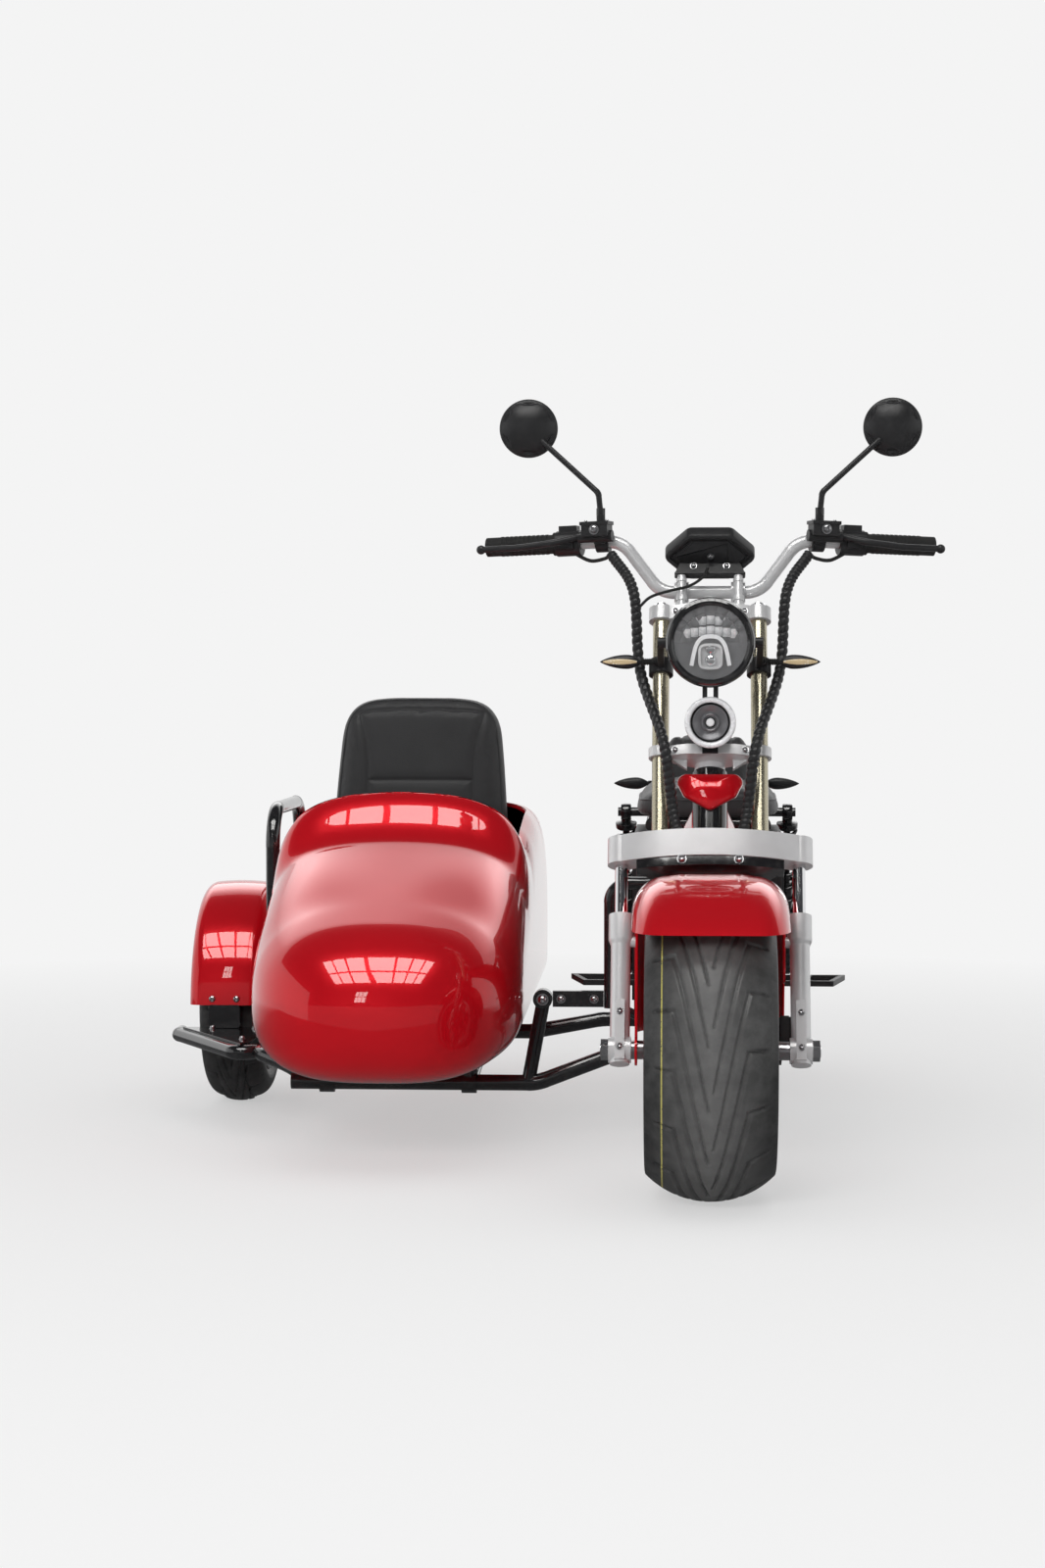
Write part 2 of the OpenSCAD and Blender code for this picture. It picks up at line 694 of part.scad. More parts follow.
// Solid through a chain of rings that have the same number of points
module loft(rings) {
    n = len(rings);
    sides = len(rings[0]);
    polyhedron([for (ring = rings) each ring], concat(
        [[for (k = [0:sides - 1]) k]],
        [for (i = [0:n - 2], k = [0:sides - 1]) let (j = (k + 1) % sides)
             [i * sides + k, (i + 1) * sides + k, (i + 1) * sides + j, i * sides + j]],
        [[for (k = [sides - 1:-1:0]) (n - 1) * sides + k]]));
}

// Tube swept through a chain of points, with a flat ring of sides at each
module swept(path, r, sides) {
    n = len(path);
    dirs = [for (i = [0:n - 1]) unit(path[min(n - 1, i + 1)] - path[max(0, i - 1)])];
    loft([for (i = [0:n - 1]) let (a = unit(cross(dirs[i], [1, 0, 0])), b = cross(dirs[i], a))
          [for (k = [0:sides - 1]) path[i] + r * (cos(360 * k / sides) * a + sin(360 * k / sides) * b)]]);
}

// Point of a smooth curve through four points, between the middle two
function curve(a, b, c, d, t) =
    0.5 * (2 * b + (c - a) * t + (2 * a - 5 * b + 4 * c - d) * t * t + (3 * b - a - 3 * c + d) * t * t * t);

// Smooth path through points, in so many steps a span
function smooth(p, steps) = concat(
    [for (i = [0:len(p) - 2], k = [0:steps - 1])
        curve(p[max(0, i - 1)], p[i], p[i + 1], p[min(len(p) - 1, i + 2)], k / steps)],
    [p[len(p) - 1]]);

// Points a cable loom hangs through, from the switch pod down to the lower yoke
loom_route = [for (p = [[168, -0.8, 369], [129, -10.9, 293.4], [117, 17, 161], [77, -38, 8.7],
                        [60, 2, -103.2], [40, 11.7, -193.8]])
    let (q = on_fork(p.y, middle_t + p.z)) [p.x, q[0], q[1]]];

module cable_looms() {
    color(black) both() swept(smooth(loom_route, 4), 8, 10);
}

module head_tube() {
    low = bridge_t + 1.5;
    color(black) fork_frame() translate([0, fork_offset, low]) difference() {
        cylinder(d = 2 * stem_d, h = middle_t - 11.5 - low);
        translate([0, 0, -1]) cylinder(d = stem_d + 0.6, h = 400);
    }
}

module head_cowl() {
    color(red) fork_frame() difference() {
        translate([0, fork_offset - stem_d + 4, middle_t - 50]) intersection() {
            rotate([90, 0, 0]) linear_extrude(20) hull() {
                for (s = [-1, 1]) {
                    translate([s * 38, 11]) circle(13);
                    translate([s * 30, -8]) circle(18);
                }
                translate([0, -28]) circle(10);
            }
            translate([0, 96, -2]) sphere(r = 114, $fn = 128);
        }
        translate([0, fork_offset, 300]) cylinder(d = 2 * stem_d + 2 * fit, h = 400, $fn = 128);
    }
}

// Spine sections, front to back: [y, z, width, depth, pitch of the section]
spine_rows = [[head_at[0], head_at[1], 60, 74, -24], [head_at[0] + 98, head_at[1] - 45, 92, 92, -30],
              [head_at[0] + 188, head_at[1] - 96, 132, 100, -44],
              [head_at[0] + 260, head_at[1] - 178, 132, 98, -62], [532, 320, 120, 88, -66],
              [572, 252, 120, 68, -40], [622, 228, 120, 56, -8], [case_y - 14, 226, 120, 54, 0]];

module spine_section(s) {
    translate([0, s[0], s[1]]) rotate([s[4], 0, 0]) rotate([90, 0, 0]) linear_extrude(0.5) hull()
        for (i = [-1, 1], k = [-1, 1])
            translate([i * (s[2] / 2 - 18), k * (s[3] / 2 - 18)]) circle(18, $fn = 24);
}

module spine() {
    color(red) difference() {
        for (i = [0:len(spine_rows) - 2]) hull() {
            spine_section(spine_rows[i]);
            spine_section(spine_rows[i + 1]);
        }
        fork_frame() translate([0, fork_offset, 200]) cylinder(d = 2 * stem_d + 2 * fit, h = 400, $fn = 96);
    }
}

module frame() {
    color(black) {
        both() {
            rod([sill_x, cross_y - 20, sill_z], [sill_x, sill_end + 14, sill_z], sill_d / 2);
            rod([rail_x, rail_front, rail_z], [rail_x, rail_end, rail_z], rail_d / 2);
            rod([sill_x, sill_end, sill_z], [rail_x, sill_end + 34, rail_z], rail_d / 2 - 1);
            translate([sill_x - 15, pivot_y, pivot_z]) rotate([0, 90, 0]) cylinder(r = 24, h = 30);
        }
        for (y = [rail_front + 16, rail_end - 24])
            rod([-rail_x, y, rail_z], [rail_x, y, rail_z], rail_d / 2 - 0.4);
        rod([-shock_x - 16, shock_y - 110, rail_z], [shock_x + 16, shock_y - 110, rail_z], 9);
        rod([-sill_x, case_y + case_l + 12, sill_z], [sill_x, case_y + case_l + 12, sill_z], 9);
    }
}

module footpegs() {
    z = sill_z + 76;
    edge = sill_x + sill_d / 2 + seat_gap;
    color(black) both() {
        translate([edge, 590, sill_z - 14]) cube([8, 52, 96]);
        translate([0, 0, z]) linear_extrude(10) difference() {
            polygon([[edge + 7, 562], [222, 560], [248, 672], [edge + 7, 668]]);
            polygon([[edge + 16, 571], [166, 570], [178, 661], [edge + 16, 660]]);
            polygon([[175, 570], [214, 569], [236, 662], [188, 661]]);
        }
    }
}

module battery_case() {
    color(black) {
        translate([-case_w / 2 + 4, case_y + 4, case_bottom])
            cube([case_w - 8, case_l - 8, case_top - case_bottom]);
        for (i = [0:8]) translate([-case_w / 2 + 14 + i * (case_w - 40) / 8, case_y, case_bottom + 18])
            cube([12, case_l, case_top - case_bottom - 44]);
        for (i = [0:8]) translate([-case_w / 2, case_y + 20 + i * (case_l - 52) / 8, case_bottom + 18])
            cube([case_w, 12, case_top - case_bottom - 44]);
    }
}

module rider_seat() {
    z = rail_z + rail_d / 2 + seat_gap;
    color(black) hull() {
        for (s = [-1, 1], y = [rail_front + 24, rail_front + 330]) {
            translate([s * 104, y, z]) cylinder(r = 34, h = 20, $fn = 32);
            translate([s * 76, y, z + seat_h - 22]) sphere(r = 22, $fn = 24);
        }
    }
}

module passenger_seat() {
    z = rail_z + rail_d / 2 + seat_gap;
    y0 = rail_front + 370 + seat_gap;
    color(black) hull() {
        for (s = [-1, 1]) {
            for (y = [y0 + 20, rail_end - 30]) translate([s * 66, y, z]) cylinder(r = 20, h = 30, $fn = 32);
            translate([s * 62, y0 + 60, z + hump_h - 44]) sphere(r = 30, $fn = 24);
            translate([s * 58, y0 + 190, z + hump_h - 84]) sphere(r = 30, $fn = 24);
        }
    }
}

module swingarm() {
    z = pivot_z;
    arm = 16;
    color(black) difference() {
        union() {
            rod([15.3 - sill_x, pivot_y, z], [sill_x - 15.3, pivot_y, z], 20);
            both() {
                bent_tube([[sill_x - 32, pivot_y, z], [sill_x - 32, pivot_y + 50, z],
                           [arm_x, pivot_y + 106, z], [arm_x, wheelbase - 20, front_r]], 30, arm);
                translate([arm_x - 7, wheelbase - 44, front_r - 26]) cube([14, 78, 52]);
                rod([arm_x, shock_y, front_r + 4], [shock_x + 16, shock_y, front_r + 4], 8);
            }
        }
        translate([-200, wheelbase, front_r]) rotate([0, 90, 0]) cylinder(d = axle_d + 2 * fit, h = 400);
    }
}

module rear_shocks() {
    top = [0, shock_y - 110, rail_z];
    foot = [0, shock_y, front_r + 4];
    l = norm(top - foot);
    color(chrome) both() translate([shock_x, foot.y, foot.z]) rotate([asin(110 / l), 0, 0]) difference() {
        union() {
            rotate([0, 90, 0]) cylinder(r = 15, h = 20, center = true);
            translate([0, 0, l]) rotate([0, 90, 0]) cylinder(r = 16, h = 20, center = true);
            translate([0, 0, 8]) cylinder(r = 13, h = 0.55 * l);
            cylinder(r = 7, h = l - 4);
            translate([0, 0, l - 34]) cylinder(r = 21, h = 12);
            translate([0, 0, 26]) cylinder(r = 21, h = 12);
            for (i = [0:8]) translate([0, 0, 46 + i * (l - 96) / 8])
                rotate_extrude() translate([17, 0]) circle(5, $fn = 24);
            for (i = [0:8]) translate([0, 0, 44 + i * (l - 96) / 8]) cylinder(r = 15, h = 4);
        }
        translate([-20, 0, 0]) rotate([0, 90, 0]) cylinder(r = 8 + fit, h = 40);
        translate([-20, 0, l]) rotate([0, 90, 0]) cylinder(r = 9 + fit, h = 40);
    }
}

module rear_axle() {
    reach = arm_x + 7;
    color(silver) translate([0, wheelbase, front_r]) rotate([0, 90, 0]) {
        translate([0, 0, -reach - nut_h]) cylinder(d = axle_d, h = 2 * (reach + nut_h));
        for (s = [0, 1]) mirror([0, 0, s]) {
            translate([0, 0, reach + seat_gap]) cylinder(d = 1.7 * axle_d, h = nut_h - 1 - seat_gap, $fn = 6);
            translate([0, 0, hub_half + seat_gap])
                cylinder(d = 1.5 * axle_d, h = arm_x - 7 - hub_half - 2 * seat_gap);
        }
    }
}

module rear_fender() {
    half = tyre_w / 2 + fender_wall + 8.5;
    post = rail_end - 30;
    drop = sqrt(pow(fender_r - 6, 2) - pow(wheelbase - post, 2));
    color(red) {
        translate([0, wheelbase, front_r]) fender_shell(fender_r - 3, half, 34, 62, -8, 116);
        both() translate([rail_x - 6, post, front_r + drop])
            cylinder(r = 9, h = rail_z - rail_d / 2 - seat_gap - front_r - drop);
    }
}

module tail_light() {
    color([0.6, 0.02, 0.02]) translate([-90, rail_end + seat_gap, rail_z - 26]) difference() {
        cube([180, 30, 50]);
        translate([6, 26, 6]) cube([168, 5, 38]);
    }
}

module rear_indicators() {
    z = rail_z + rail_d / 2 + seat_gap;
    color(amber) both() {
        translate([rail_x, rail_end - 70, z]) cylinder(d = 12, h = 48);
        translate([rail_x, rail_end - 70, z + 40]) rotate([0, 90, 0]) {
            cylinder(d = 9, h = 18);
            translate([0, 0, 12]) spindle(60, 11);
        }
    }
}

module rear_tyre() {
    color(rubber) translate([0, wheelbase, front_r]) tyre(tyre_d, tyre_w, rim_d);
}

module rear_rim() {
    color(silver) translate([0, wheelbase, front_r]) cast_wheel(tyre_w, rim_d, 98, hub_half, 60);
}

// Height of the tub's foredeck, cockpit sides and rear deck along y
function tub_top(y) =
    let (r = 190, a = 21, z0 = 240, y1 = nose_y + r * (1 - sin(a)), z1 = z0 + r * cos(a),
         slope = (deck_z - z1) / (cowl_y - 15 - y1), t = (y - nose_y) / r,
         fore = y < y1 ? z0 + r * sqrt(max(0, 1 - (1 - t) * (1 - t))) : z1 + slope * (y - y1),
         back = deck_z + 20 - 27 * (1 - ease((y - cowl_y - 110) / 260)) - 12 * ease((y - 1150) / 250),
         tail = (y - tub_end + 150) / 150)
    y < cowl_y ? fore + lip_h * pow(ease((y - 560) / (cowl_y - 560)), 1.6)
    : y < cowl_y + 110 ? deck_z + lip_h + 6 - (lip_h + 13) * ease((y - cowl_y) / 110)
    : tail <= 0 ? back : tub_mid + 40 + (back - tub_mid - 40) * super(tail, 2.2);

// Height of the tub's keel along y
function tub_keel(y) =
    let (t = (nose_y + 150 - y) / 150, flat = 146 + 0.04 * (y - 300), tail = (y - tub_end + 130) / 130)
    t > 0 ? 240 - (240 - flat) * super(t, 2.2)
    : tail > 0 ? flat + (tub_mid + 40 - flat) * (1 - super(tail, 2.2)) : flat;

// Half width of the tub along y
function tub_side(y) =
    let (t = (nose_y + 300 - y) / 300, tail = (y - tub_end + 230) / 230)
    tub_half * (t > 0 ? super(t, 2.4) : tail > 0 ? super(tail, 2.6) : 1);

// Height of the tub's widest line along y
function tub_waist(y) =
    y > tub_end - 150 ? tub_mid + 40 * ease((y - tub_end + 150) / 150)
    : min(tub_mid, 240 + 0.2 * (y - nose_y));

// How far the tub's inside steps back from its ends: 1 at the nose, 0 amidships, -1 at the tail
function step_in(y) = 1 - ease((y - nose_y - 120) / 200) - ease((y - tub_end + 280) / 160);

// How square the tub's upper corners are along y: round at both ends, boxy beside the seat
function tub_square(y) = 2.5 + 2.5 * ease((y - nose_y - 192) / 300) + 3 * ease((y - cowl_y + 15) / 160)
    - 5 * ease((y - tub_end + 330) / 250);

// Ring of the tub at y, shrunk by a wall
function tub_ring(y, wall) =
    let (q = y - wall * step_in(y), w = max(2, tub_side(q) - wall), m = tub_waist(q),
         up = max(2, tub_top(q) - wall - m), down = max(2, m - tub_keel(q) - wall))
    [for (i = [0:39]) let (a = -9 * i, c = cos(a), s = sin(a),
         n = s > 0 ? tub_square(q) : 3, k = pow(pow(abs(c), n) + pow(abs(s), n), -1 / n))
         [w * k * c, y, m + (s > 0 ? up : down) * k * s]];

// Stations of the tub, close together at both ends and at the cowl
function stations(inset) = concat(
    [for (i = [0:7]) nose_y + inset + 150 * (1 - cos(11.25 * i))],
    [for (i = [1:4]) nose_y + 121 + (560 - nose_y - 121) * i / 4],
    [585, 605, 622, 636, cowl_y - 7, cowl_y, cowl_y + 55, cowl_y + 110, 900, 1050, 1150, 1260],
    [for (i = [5:-1:0]) tub_end - inset - 150 * (1 - cos(15 * i))]);

// Plan of the cockpit opening
module cockpit_plan() {
    half = tub_half - 30;
    hull() for (s = [-1, 1]) {
        translate([s * (half - 90), cockpit_end - 90]) circle(90);
        translate([s * (half - 40), cowl_y + 40]) circle(40);
    }
}

module sidecar_body() {
    color(red) translate([-tub_x, 0, 0]) resize([tub_w, 0, 0]) difference() {
        loft([for (y = stations(0)) tub_ring(y, 0)]);
        loft([for (y = stations(tub_wall)) tub_ring(y, tub_wall)]);
        translate([0, 0, tub_mid + 60]) linear_extrude(600) cockpit_plan();
    }
}

// Underside of the tub at a distance x from its centre plane
function tub_under(x, y) =
    let (m = tub_waist(y)) m - (m - tub_keel(y)) * super(x / tub_side(y), 3);

module sidecar_chassis() {
    r = chassis_d / 2;
    rail = r - 0.8;
    inner = tub_x - 136;
    knee = tub_x - tub_half - 10;
    color(black) difference() {
        union() {
            bent_tube([[-open_x, cross_y, cross_z], [-300, cross_y, cross_z], [-150, cross_y, low_z],
                       [sill_x + 20, cross_y, low_z]], 90, r);
            bent_tube([[-out_x, back_y, out_z], [-330, back_y, out_z], [-200, back_y, low_z],
                       [sill_x + 20, back_y, low_z]], 90, r);
            bent_tube([[40 - open_x, cross_y, cross_z], [-open_x - 14, cross_y + 55, cross_z + 21],
                       [-out_x, cross_y + 125, out_z], [-out_x, 1240, out_z]], 60, rail);
            rod([-inner, cross_y, cross_z], [-inner, back_y, out_z], rail);
            rod([-knee - 6, cross_y, cross_z], [8 - knee + 12, cross_y, 258], rail - 1);
            translate([20 - knee, cross_y - 16, 266]) rotate([-90, 0, 0]) cylinder(r = 17, h = 32);
            bent_tube([[-out_x, cross_y + 170, out_z], [-out_x - 27, cross_y + 98, out_z],
                       [-side_x - 94, side_y - 186, out_z], [-side_x - 94, side_y - 150, out_z]], 22, rail);
            for (x = [tub_x + 115, inner])
                translate([-x - 13, cross_y, cross_z]) rotate([0, 90, 0]) cylinder(r = r + 5, h = 26);
            for (p = [[cross_y, cross_z], [back_y, out_z]], x = [tub_x + 115, inner])
                translate([-x, p[0], p[1]])
                    cylinder(r = 15, h = tub_under(abs(x - tub_x) - 15, p[0]) - seat_gap - p[1]);
        }
        translate([-open_x - 1, cross_y, cross_z]) rotate([0, 90, 0]) cylinder(r = r - 3, h = 61);
    }
}

module sidecar_link() {
    knee = tub_x - tub_half - 30;
    strut = 172;
    z = 266;
    top = lookup(cross_y, [for (s = spine_rows) [s[0], s[1]]]) + 44;
    color(black) {
        bent_tube([[-66 - seat_gap, cross_y, top], [-strut, cross_y, top],
                   [-strut, cross_y, z - 16]], 34, 11);
        rod([-strut, cross_y, z - 6], [-sill_x - 12, cross_y, sill_z + 13 + seat_gap], 8);
    }
    color(black) translate([17 + seat_gap - knee, cross_y - 7, z - 14])
        cube([knee - 17 - strut - 11 - 2 * seat_gap, 14, 28]);
}

// Inside of the tub's floor at a distance x from its centre plane
function tub_floor(x, y) =
    let (m = tub_waist(y)) m - (m - tub_keel(y) - tub_wall) * super(x / (tub_side(y) - tub_wall), 3);

module seat_base() {
    z = tub_floor(70, base_y + base_l) + 2 * seat_gap;
    color(black) {
        translate([-tub_x - 70, base_y, z]) cube([140, base_l, base_z - 6 - z]);
        translate([19 - seat_half - tub_x, base_y, base_z - 12]) cube([2 * seat_half - 38, base_l, 12]);
    }
}

module seat_cushion() {
    color(black) hull() for (s = [-1, 1], y = [base_y + 36, base_y + 160]) {
        translate([s * (seat_half - 34) - tub_x, y, base_z + seat_gap]) cylinder(r = 36, h = 10, $fn = 32);
        translate([s * (seat_half - 34) - tub_x, y, base_z + 80]) sphere(r = 30, $fn = 24);
    }
}

module seat_back() {
    lean = 12;
    r = 36;
    foot = base_z + r * sin(lean) + 2 * seat_gap;
    color(black) translate([-tub_x, base_y + base_l - 45, foot]) rotate([-lean, 0, 0]) hull() {
        h = (back_z - foot) / cos(lean);
        for (s = [-1, 1]) {
            translate([s * (seat_half - 58), 0, 0]) cylinder(r = r, h = 5, $fn = 32);
            translate([s * (seat_half - 36), 0, 0.35 * h]) sphere(r = r, $fn = 24);
            translate([s * (seat_half - 62), 0, h - r]) sphere(r = r, $fn = 24);
        }
    }
}

module grab_rail() {
    z = out_z + chassis_d / 2 - 0.8 + seat_gap;
    color(black) {
        bent_tube([[-out_x, 800, z], [-out_x, 800, grab_z - 13], [-out_x, 1188, grab_z - 13],
                   [-out_x, 1188, z]], 70, 13);
        for (y = [800, 1188]) translate([-out_x, y, z]) cylinder(r = 18, h = 8);
    }
}

module step_plate() {
    z = out_z + chassis_d / 2 - 0.8 + seat_gap;
    rear = side_y - sqrt(side_r * side_r - pow(z + 4 - side_r, 2)) - 12;
    color(black) translate([0, 0, z]) linear_extrude(4) intersection() {
        polygon([[-out_x - 19, cross_y + 150], [-out_x - 32, cross_y + 116], [-side_x - 90, side_y - 196],
                 [-side_x - 90, side_y], [-out_x - 19, side_y]]);
        translate([-2 * side_x, 0]) square([2 * side_x, rear]);
    }
}

module sidecar_axle() {
    face = -out_x - chassis_d / 2 + 0.8 - seat_gap;
    hub = side_x - 45;
    color(silver) {
        translate([face - 12, side_y - 32, out_z - 14]) cube([12, 64, side_r - out_z + 44]);
        translate([face - 1, side_y, side_r]) rotate([0, -90, 0]) {
            cylinder(d = axle_d, h = side_x + 45 + face + nut_h);
            cylinder(d = 1.6 * axle_d, h = hub + face - 1 - seat_gap);
        }
        translate([-side_x - 45 - seat_gap, side_y, side_r]) rotate([0, -90, 0])
            cylinder(d = 1.7 * axle_d, h = nut_h - 2, $fn = 6);
    }
}

module sidecar_fender() {
    color(red) translate([-side_x, side_y, side_r])
        fender_shell(side_fender_r, side_fender_half, 24, 40, 8, 177);
}

module fender_brackets() {
    z = out_z + chassis_d / 2 - 0.8 + seat_gap + 4 + seat_gap;
    face = -out_x - chassis_d / 2 + 0.8 - seat_gap;
    side = -side_x + side_fender_half;
    color(black) {
        translate([-side_x - 30, side_y - side_fender_r - 5 - seat_gap, z]) cube([60, 5, 92]);
        translate([side + seat_gap, side_y + 84, out_z - 10])
            cube([face - side - seat_gap, 30, side_r + 185 - out_z + 10]);
    }
}

module sidecar_tyre() {
    color(rubber) translate([-side_x, side_y, side_r]) tyre(side_tyre_d, side_tyre_w, side_rim_d);
}

module sidecar_rim() {
    color(silver) translate([-side_x, side_y, side_r]) cast_wheel(side_tyre_w, side_rim_d, 38, 45, 34);
}

place() front_tyre();
place() front_rim();
place() front_brake_disc();
place() front_axle();
place() fork_legs();
place() fork_stanchions();
place() lower_yoke();
place() fork_bridge();
place() fork_upper_tubes();
place() middle_clamp();
place() top_clamp();
place() steering_stem();
place() handlebar();
place() grips();
place() switch_pods();
place() brake_masters();
place() brake_levers();
place() mirror_stalks();
place() mirror_shells();
place() mirror_glasses();
place() display();
place() headlight_bracket();
place() headlight_shell();
place() headlight_lens();
place() horn();
place() front_indicators();
place() front_fender();
place() brake_caliper();
place() cable_looms();
place() head_tube();
place() head_cowl();
place() spine();
place() frame();
place() footpegs();
place() battery_case();
place() rider_seat();
place() passenger_seat();
place() swingarm();
place() rear_shocks();
place() rear_axle();
place() rear_fender();
place() tail_light();
place() rear_indicators();
place() rear_tyre();
place() rear_rim();
place() sidecar_chassis();
place() sidecar_link();
place() sidecar_body();
place() seat_base();
place() seat_cushion();
place() seat_back();
place() grab_rail();
place() step_plate();
place() sidecar_axle();
place() sidecar_fender();
place() fender_brackets();
place() sidecar_tyre();
place() sidecar_rim();
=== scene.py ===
"""Finishes and fine pieces of an electric motorcycle with a sidecar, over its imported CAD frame."""
import math

import bmesh
import bpy
import numpy as np
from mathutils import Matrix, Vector
from mathutils.bvhtree import BVHTree


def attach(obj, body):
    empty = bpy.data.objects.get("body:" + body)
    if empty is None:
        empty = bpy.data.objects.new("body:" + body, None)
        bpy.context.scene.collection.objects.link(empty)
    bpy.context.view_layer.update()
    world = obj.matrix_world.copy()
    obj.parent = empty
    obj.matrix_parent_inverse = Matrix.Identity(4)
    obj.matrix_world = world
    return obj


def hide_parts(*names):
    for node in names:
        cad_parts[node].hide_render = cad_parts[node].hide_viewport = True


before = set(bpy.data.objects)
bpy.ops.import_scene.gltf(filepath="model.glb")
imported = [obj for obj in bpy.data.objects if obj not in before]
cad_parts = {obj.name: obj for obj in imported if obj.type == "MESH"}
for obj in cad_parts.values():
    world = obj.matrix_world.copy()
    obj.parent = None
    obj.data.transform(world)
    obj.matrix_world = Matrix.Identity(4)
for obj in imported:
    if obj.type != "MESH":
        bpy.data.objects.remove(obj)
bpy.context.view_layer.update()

bl_info = {
    "name": "Sidecar motorcycle finishes",
    "version": (1, 0, 0),
    "blender": (4, 5, 0),
    "location": "View3D > Sidebar > Sidecar",
    "description": "Builds the paint, tread, seats, lamps and fittings of a sidecar motorcycle",
    "category": "Add Mesh",
}

# The bike's own axes: front axle at y = 0, centre plane at x = 0, rider facing -Y, millimetres.
SHIFT = np.array([309.0, -711.0, 0.0])
AXLE_Z = 238.5
RAKE = math.radians(24)
TUB_X = -556.0
FRONT_HUB = (0, 0, AXLE_Z)
REAR_HUB = (0, 1380, AXLE_Z)
SIDE_HUB = (-908, 1050, 199)
# Diameter, width and bead diameter.
FAT_TYRE = (477, 206, 305)
SIDE_TYRE = (398, 118, 254)


def row(points):
    """Points of the bike's own axes, in millimetres, as metres in the shared frame."""
    return (np.asarray(points, float) + SHIFT) / 1000


def fork(points):
    """Points of the fork's axes (x, back, up along the legs from the axle) in the bike's axes."""
    p = np.atleast_2d(np.asarray(points, float))
    c, s = math.cos(RAKE), math.sin(RAKE)
    return np.column_stack([p[:, 0], p[:, 1] * c + p[:, 2] * s, AXLE_Z + p[:, 2] * c - p[:, 1] * s])


class PaintColours(bpy.types.PropertyGroup):
    """Colours that an owner would choose."""

    red: bpy.props.FloatVectorProperty(
        name="Candy red", description="Clear-coated paint of the tub, fenders and spine",
        subtype="COLOR", size=3, min=0, max=1, default=(0.74, 0.006, 0.015))
    red_shade: bpy.props.FloatVectorProperty(
        name="Red shade", description="Deeper tone between the flakes of the red paint",
        subtype="COLOR", size=3, min=0, max=1, default=(0.44, 0.003, 0.008))
    tube: bpy.props.FloatVectorProperty(
        name="Tube black", description="Gloss paint of the frame and the sidecar tubes",
        subtype="COLOR", size=3, min=0, max=1, default=(0.012, 0.012, 0.013))
    silver: bpy.props.FloatVectorProperty(
        name="Fork silver", description="Satin paint of the fork legs, bridge and clamps",
        subtype="COLOR", size=3, min=0, max=1, default=(0.70, 0.70, 0.705))
    champagne: bpy.props.FloatVectorProperty(
        name="Champagne", description="Anodised colour of the upper fork tubes",
        subtype="COLOR", size=3, min=0, max=1, default=(0.50, 0.46, 0.34))
    vinyl: bpy.props.FloatVectorProperty(
        name="Seat vinyl", description="Grained vinyl of the seats",
        subtype="COLOR", size=3, min=0, max=1, default=(0.033, 0.033, 0.034))
    rubber: bpy.props.FloatVectorProperty(
        name="Tyre rubber", description="Clean rubber of the tyres",
        subtype="COLOR", size=3, min=0, max=1, default=(0.034, 0.034, 0.035))


class TreadSizes(bpy.types.PropertyGroup):
    """Sizes of the moulded tread."""

    pitches: bpy.props.IntProperty(
        name="Grooves", description="Swept grooves on each side of a fat tyre", min=8, max=24, default=15)
    depth: bpy.props.FloatProperty(
        name="Depth", description="Depth of a groove", subtype="DISTANCE", unit="LENGTH",
        min=0.001, max=0.006, default=0.0042)
    width: bpy.props.FloatProperty(
        name="Width", description="Width of a groove", subtype="DISTANCE", unit="LENGTH",
        min=0.002, max=0.008, default=0.0046)


class StageLevels(bpy.types.PropertyGroup):
    """Levels of the studio."""

    backdrop: bpy.props.FloatProperty(
        name="Backdrop", description="Tone of the floor and the backdrop", min=0.5, max=1, default=0.905)
    sky: bpy.props.FloatProperty(
        name="Sky", description="Strength of the even light from all round", min=0, max=2, default=0.42)
    key: bpy.props.FloatProperty(
        name="Key", description="Power of the window light in front", subtype="POWER", unit="POWER",
        min=0, max=2000, default=190)
    top: bpy.props.FloatProperty(
        name="Top", description="Power of the soft box overhead", subtype="POWER", unit="POWER",
        min=0, max=2000, default=58)


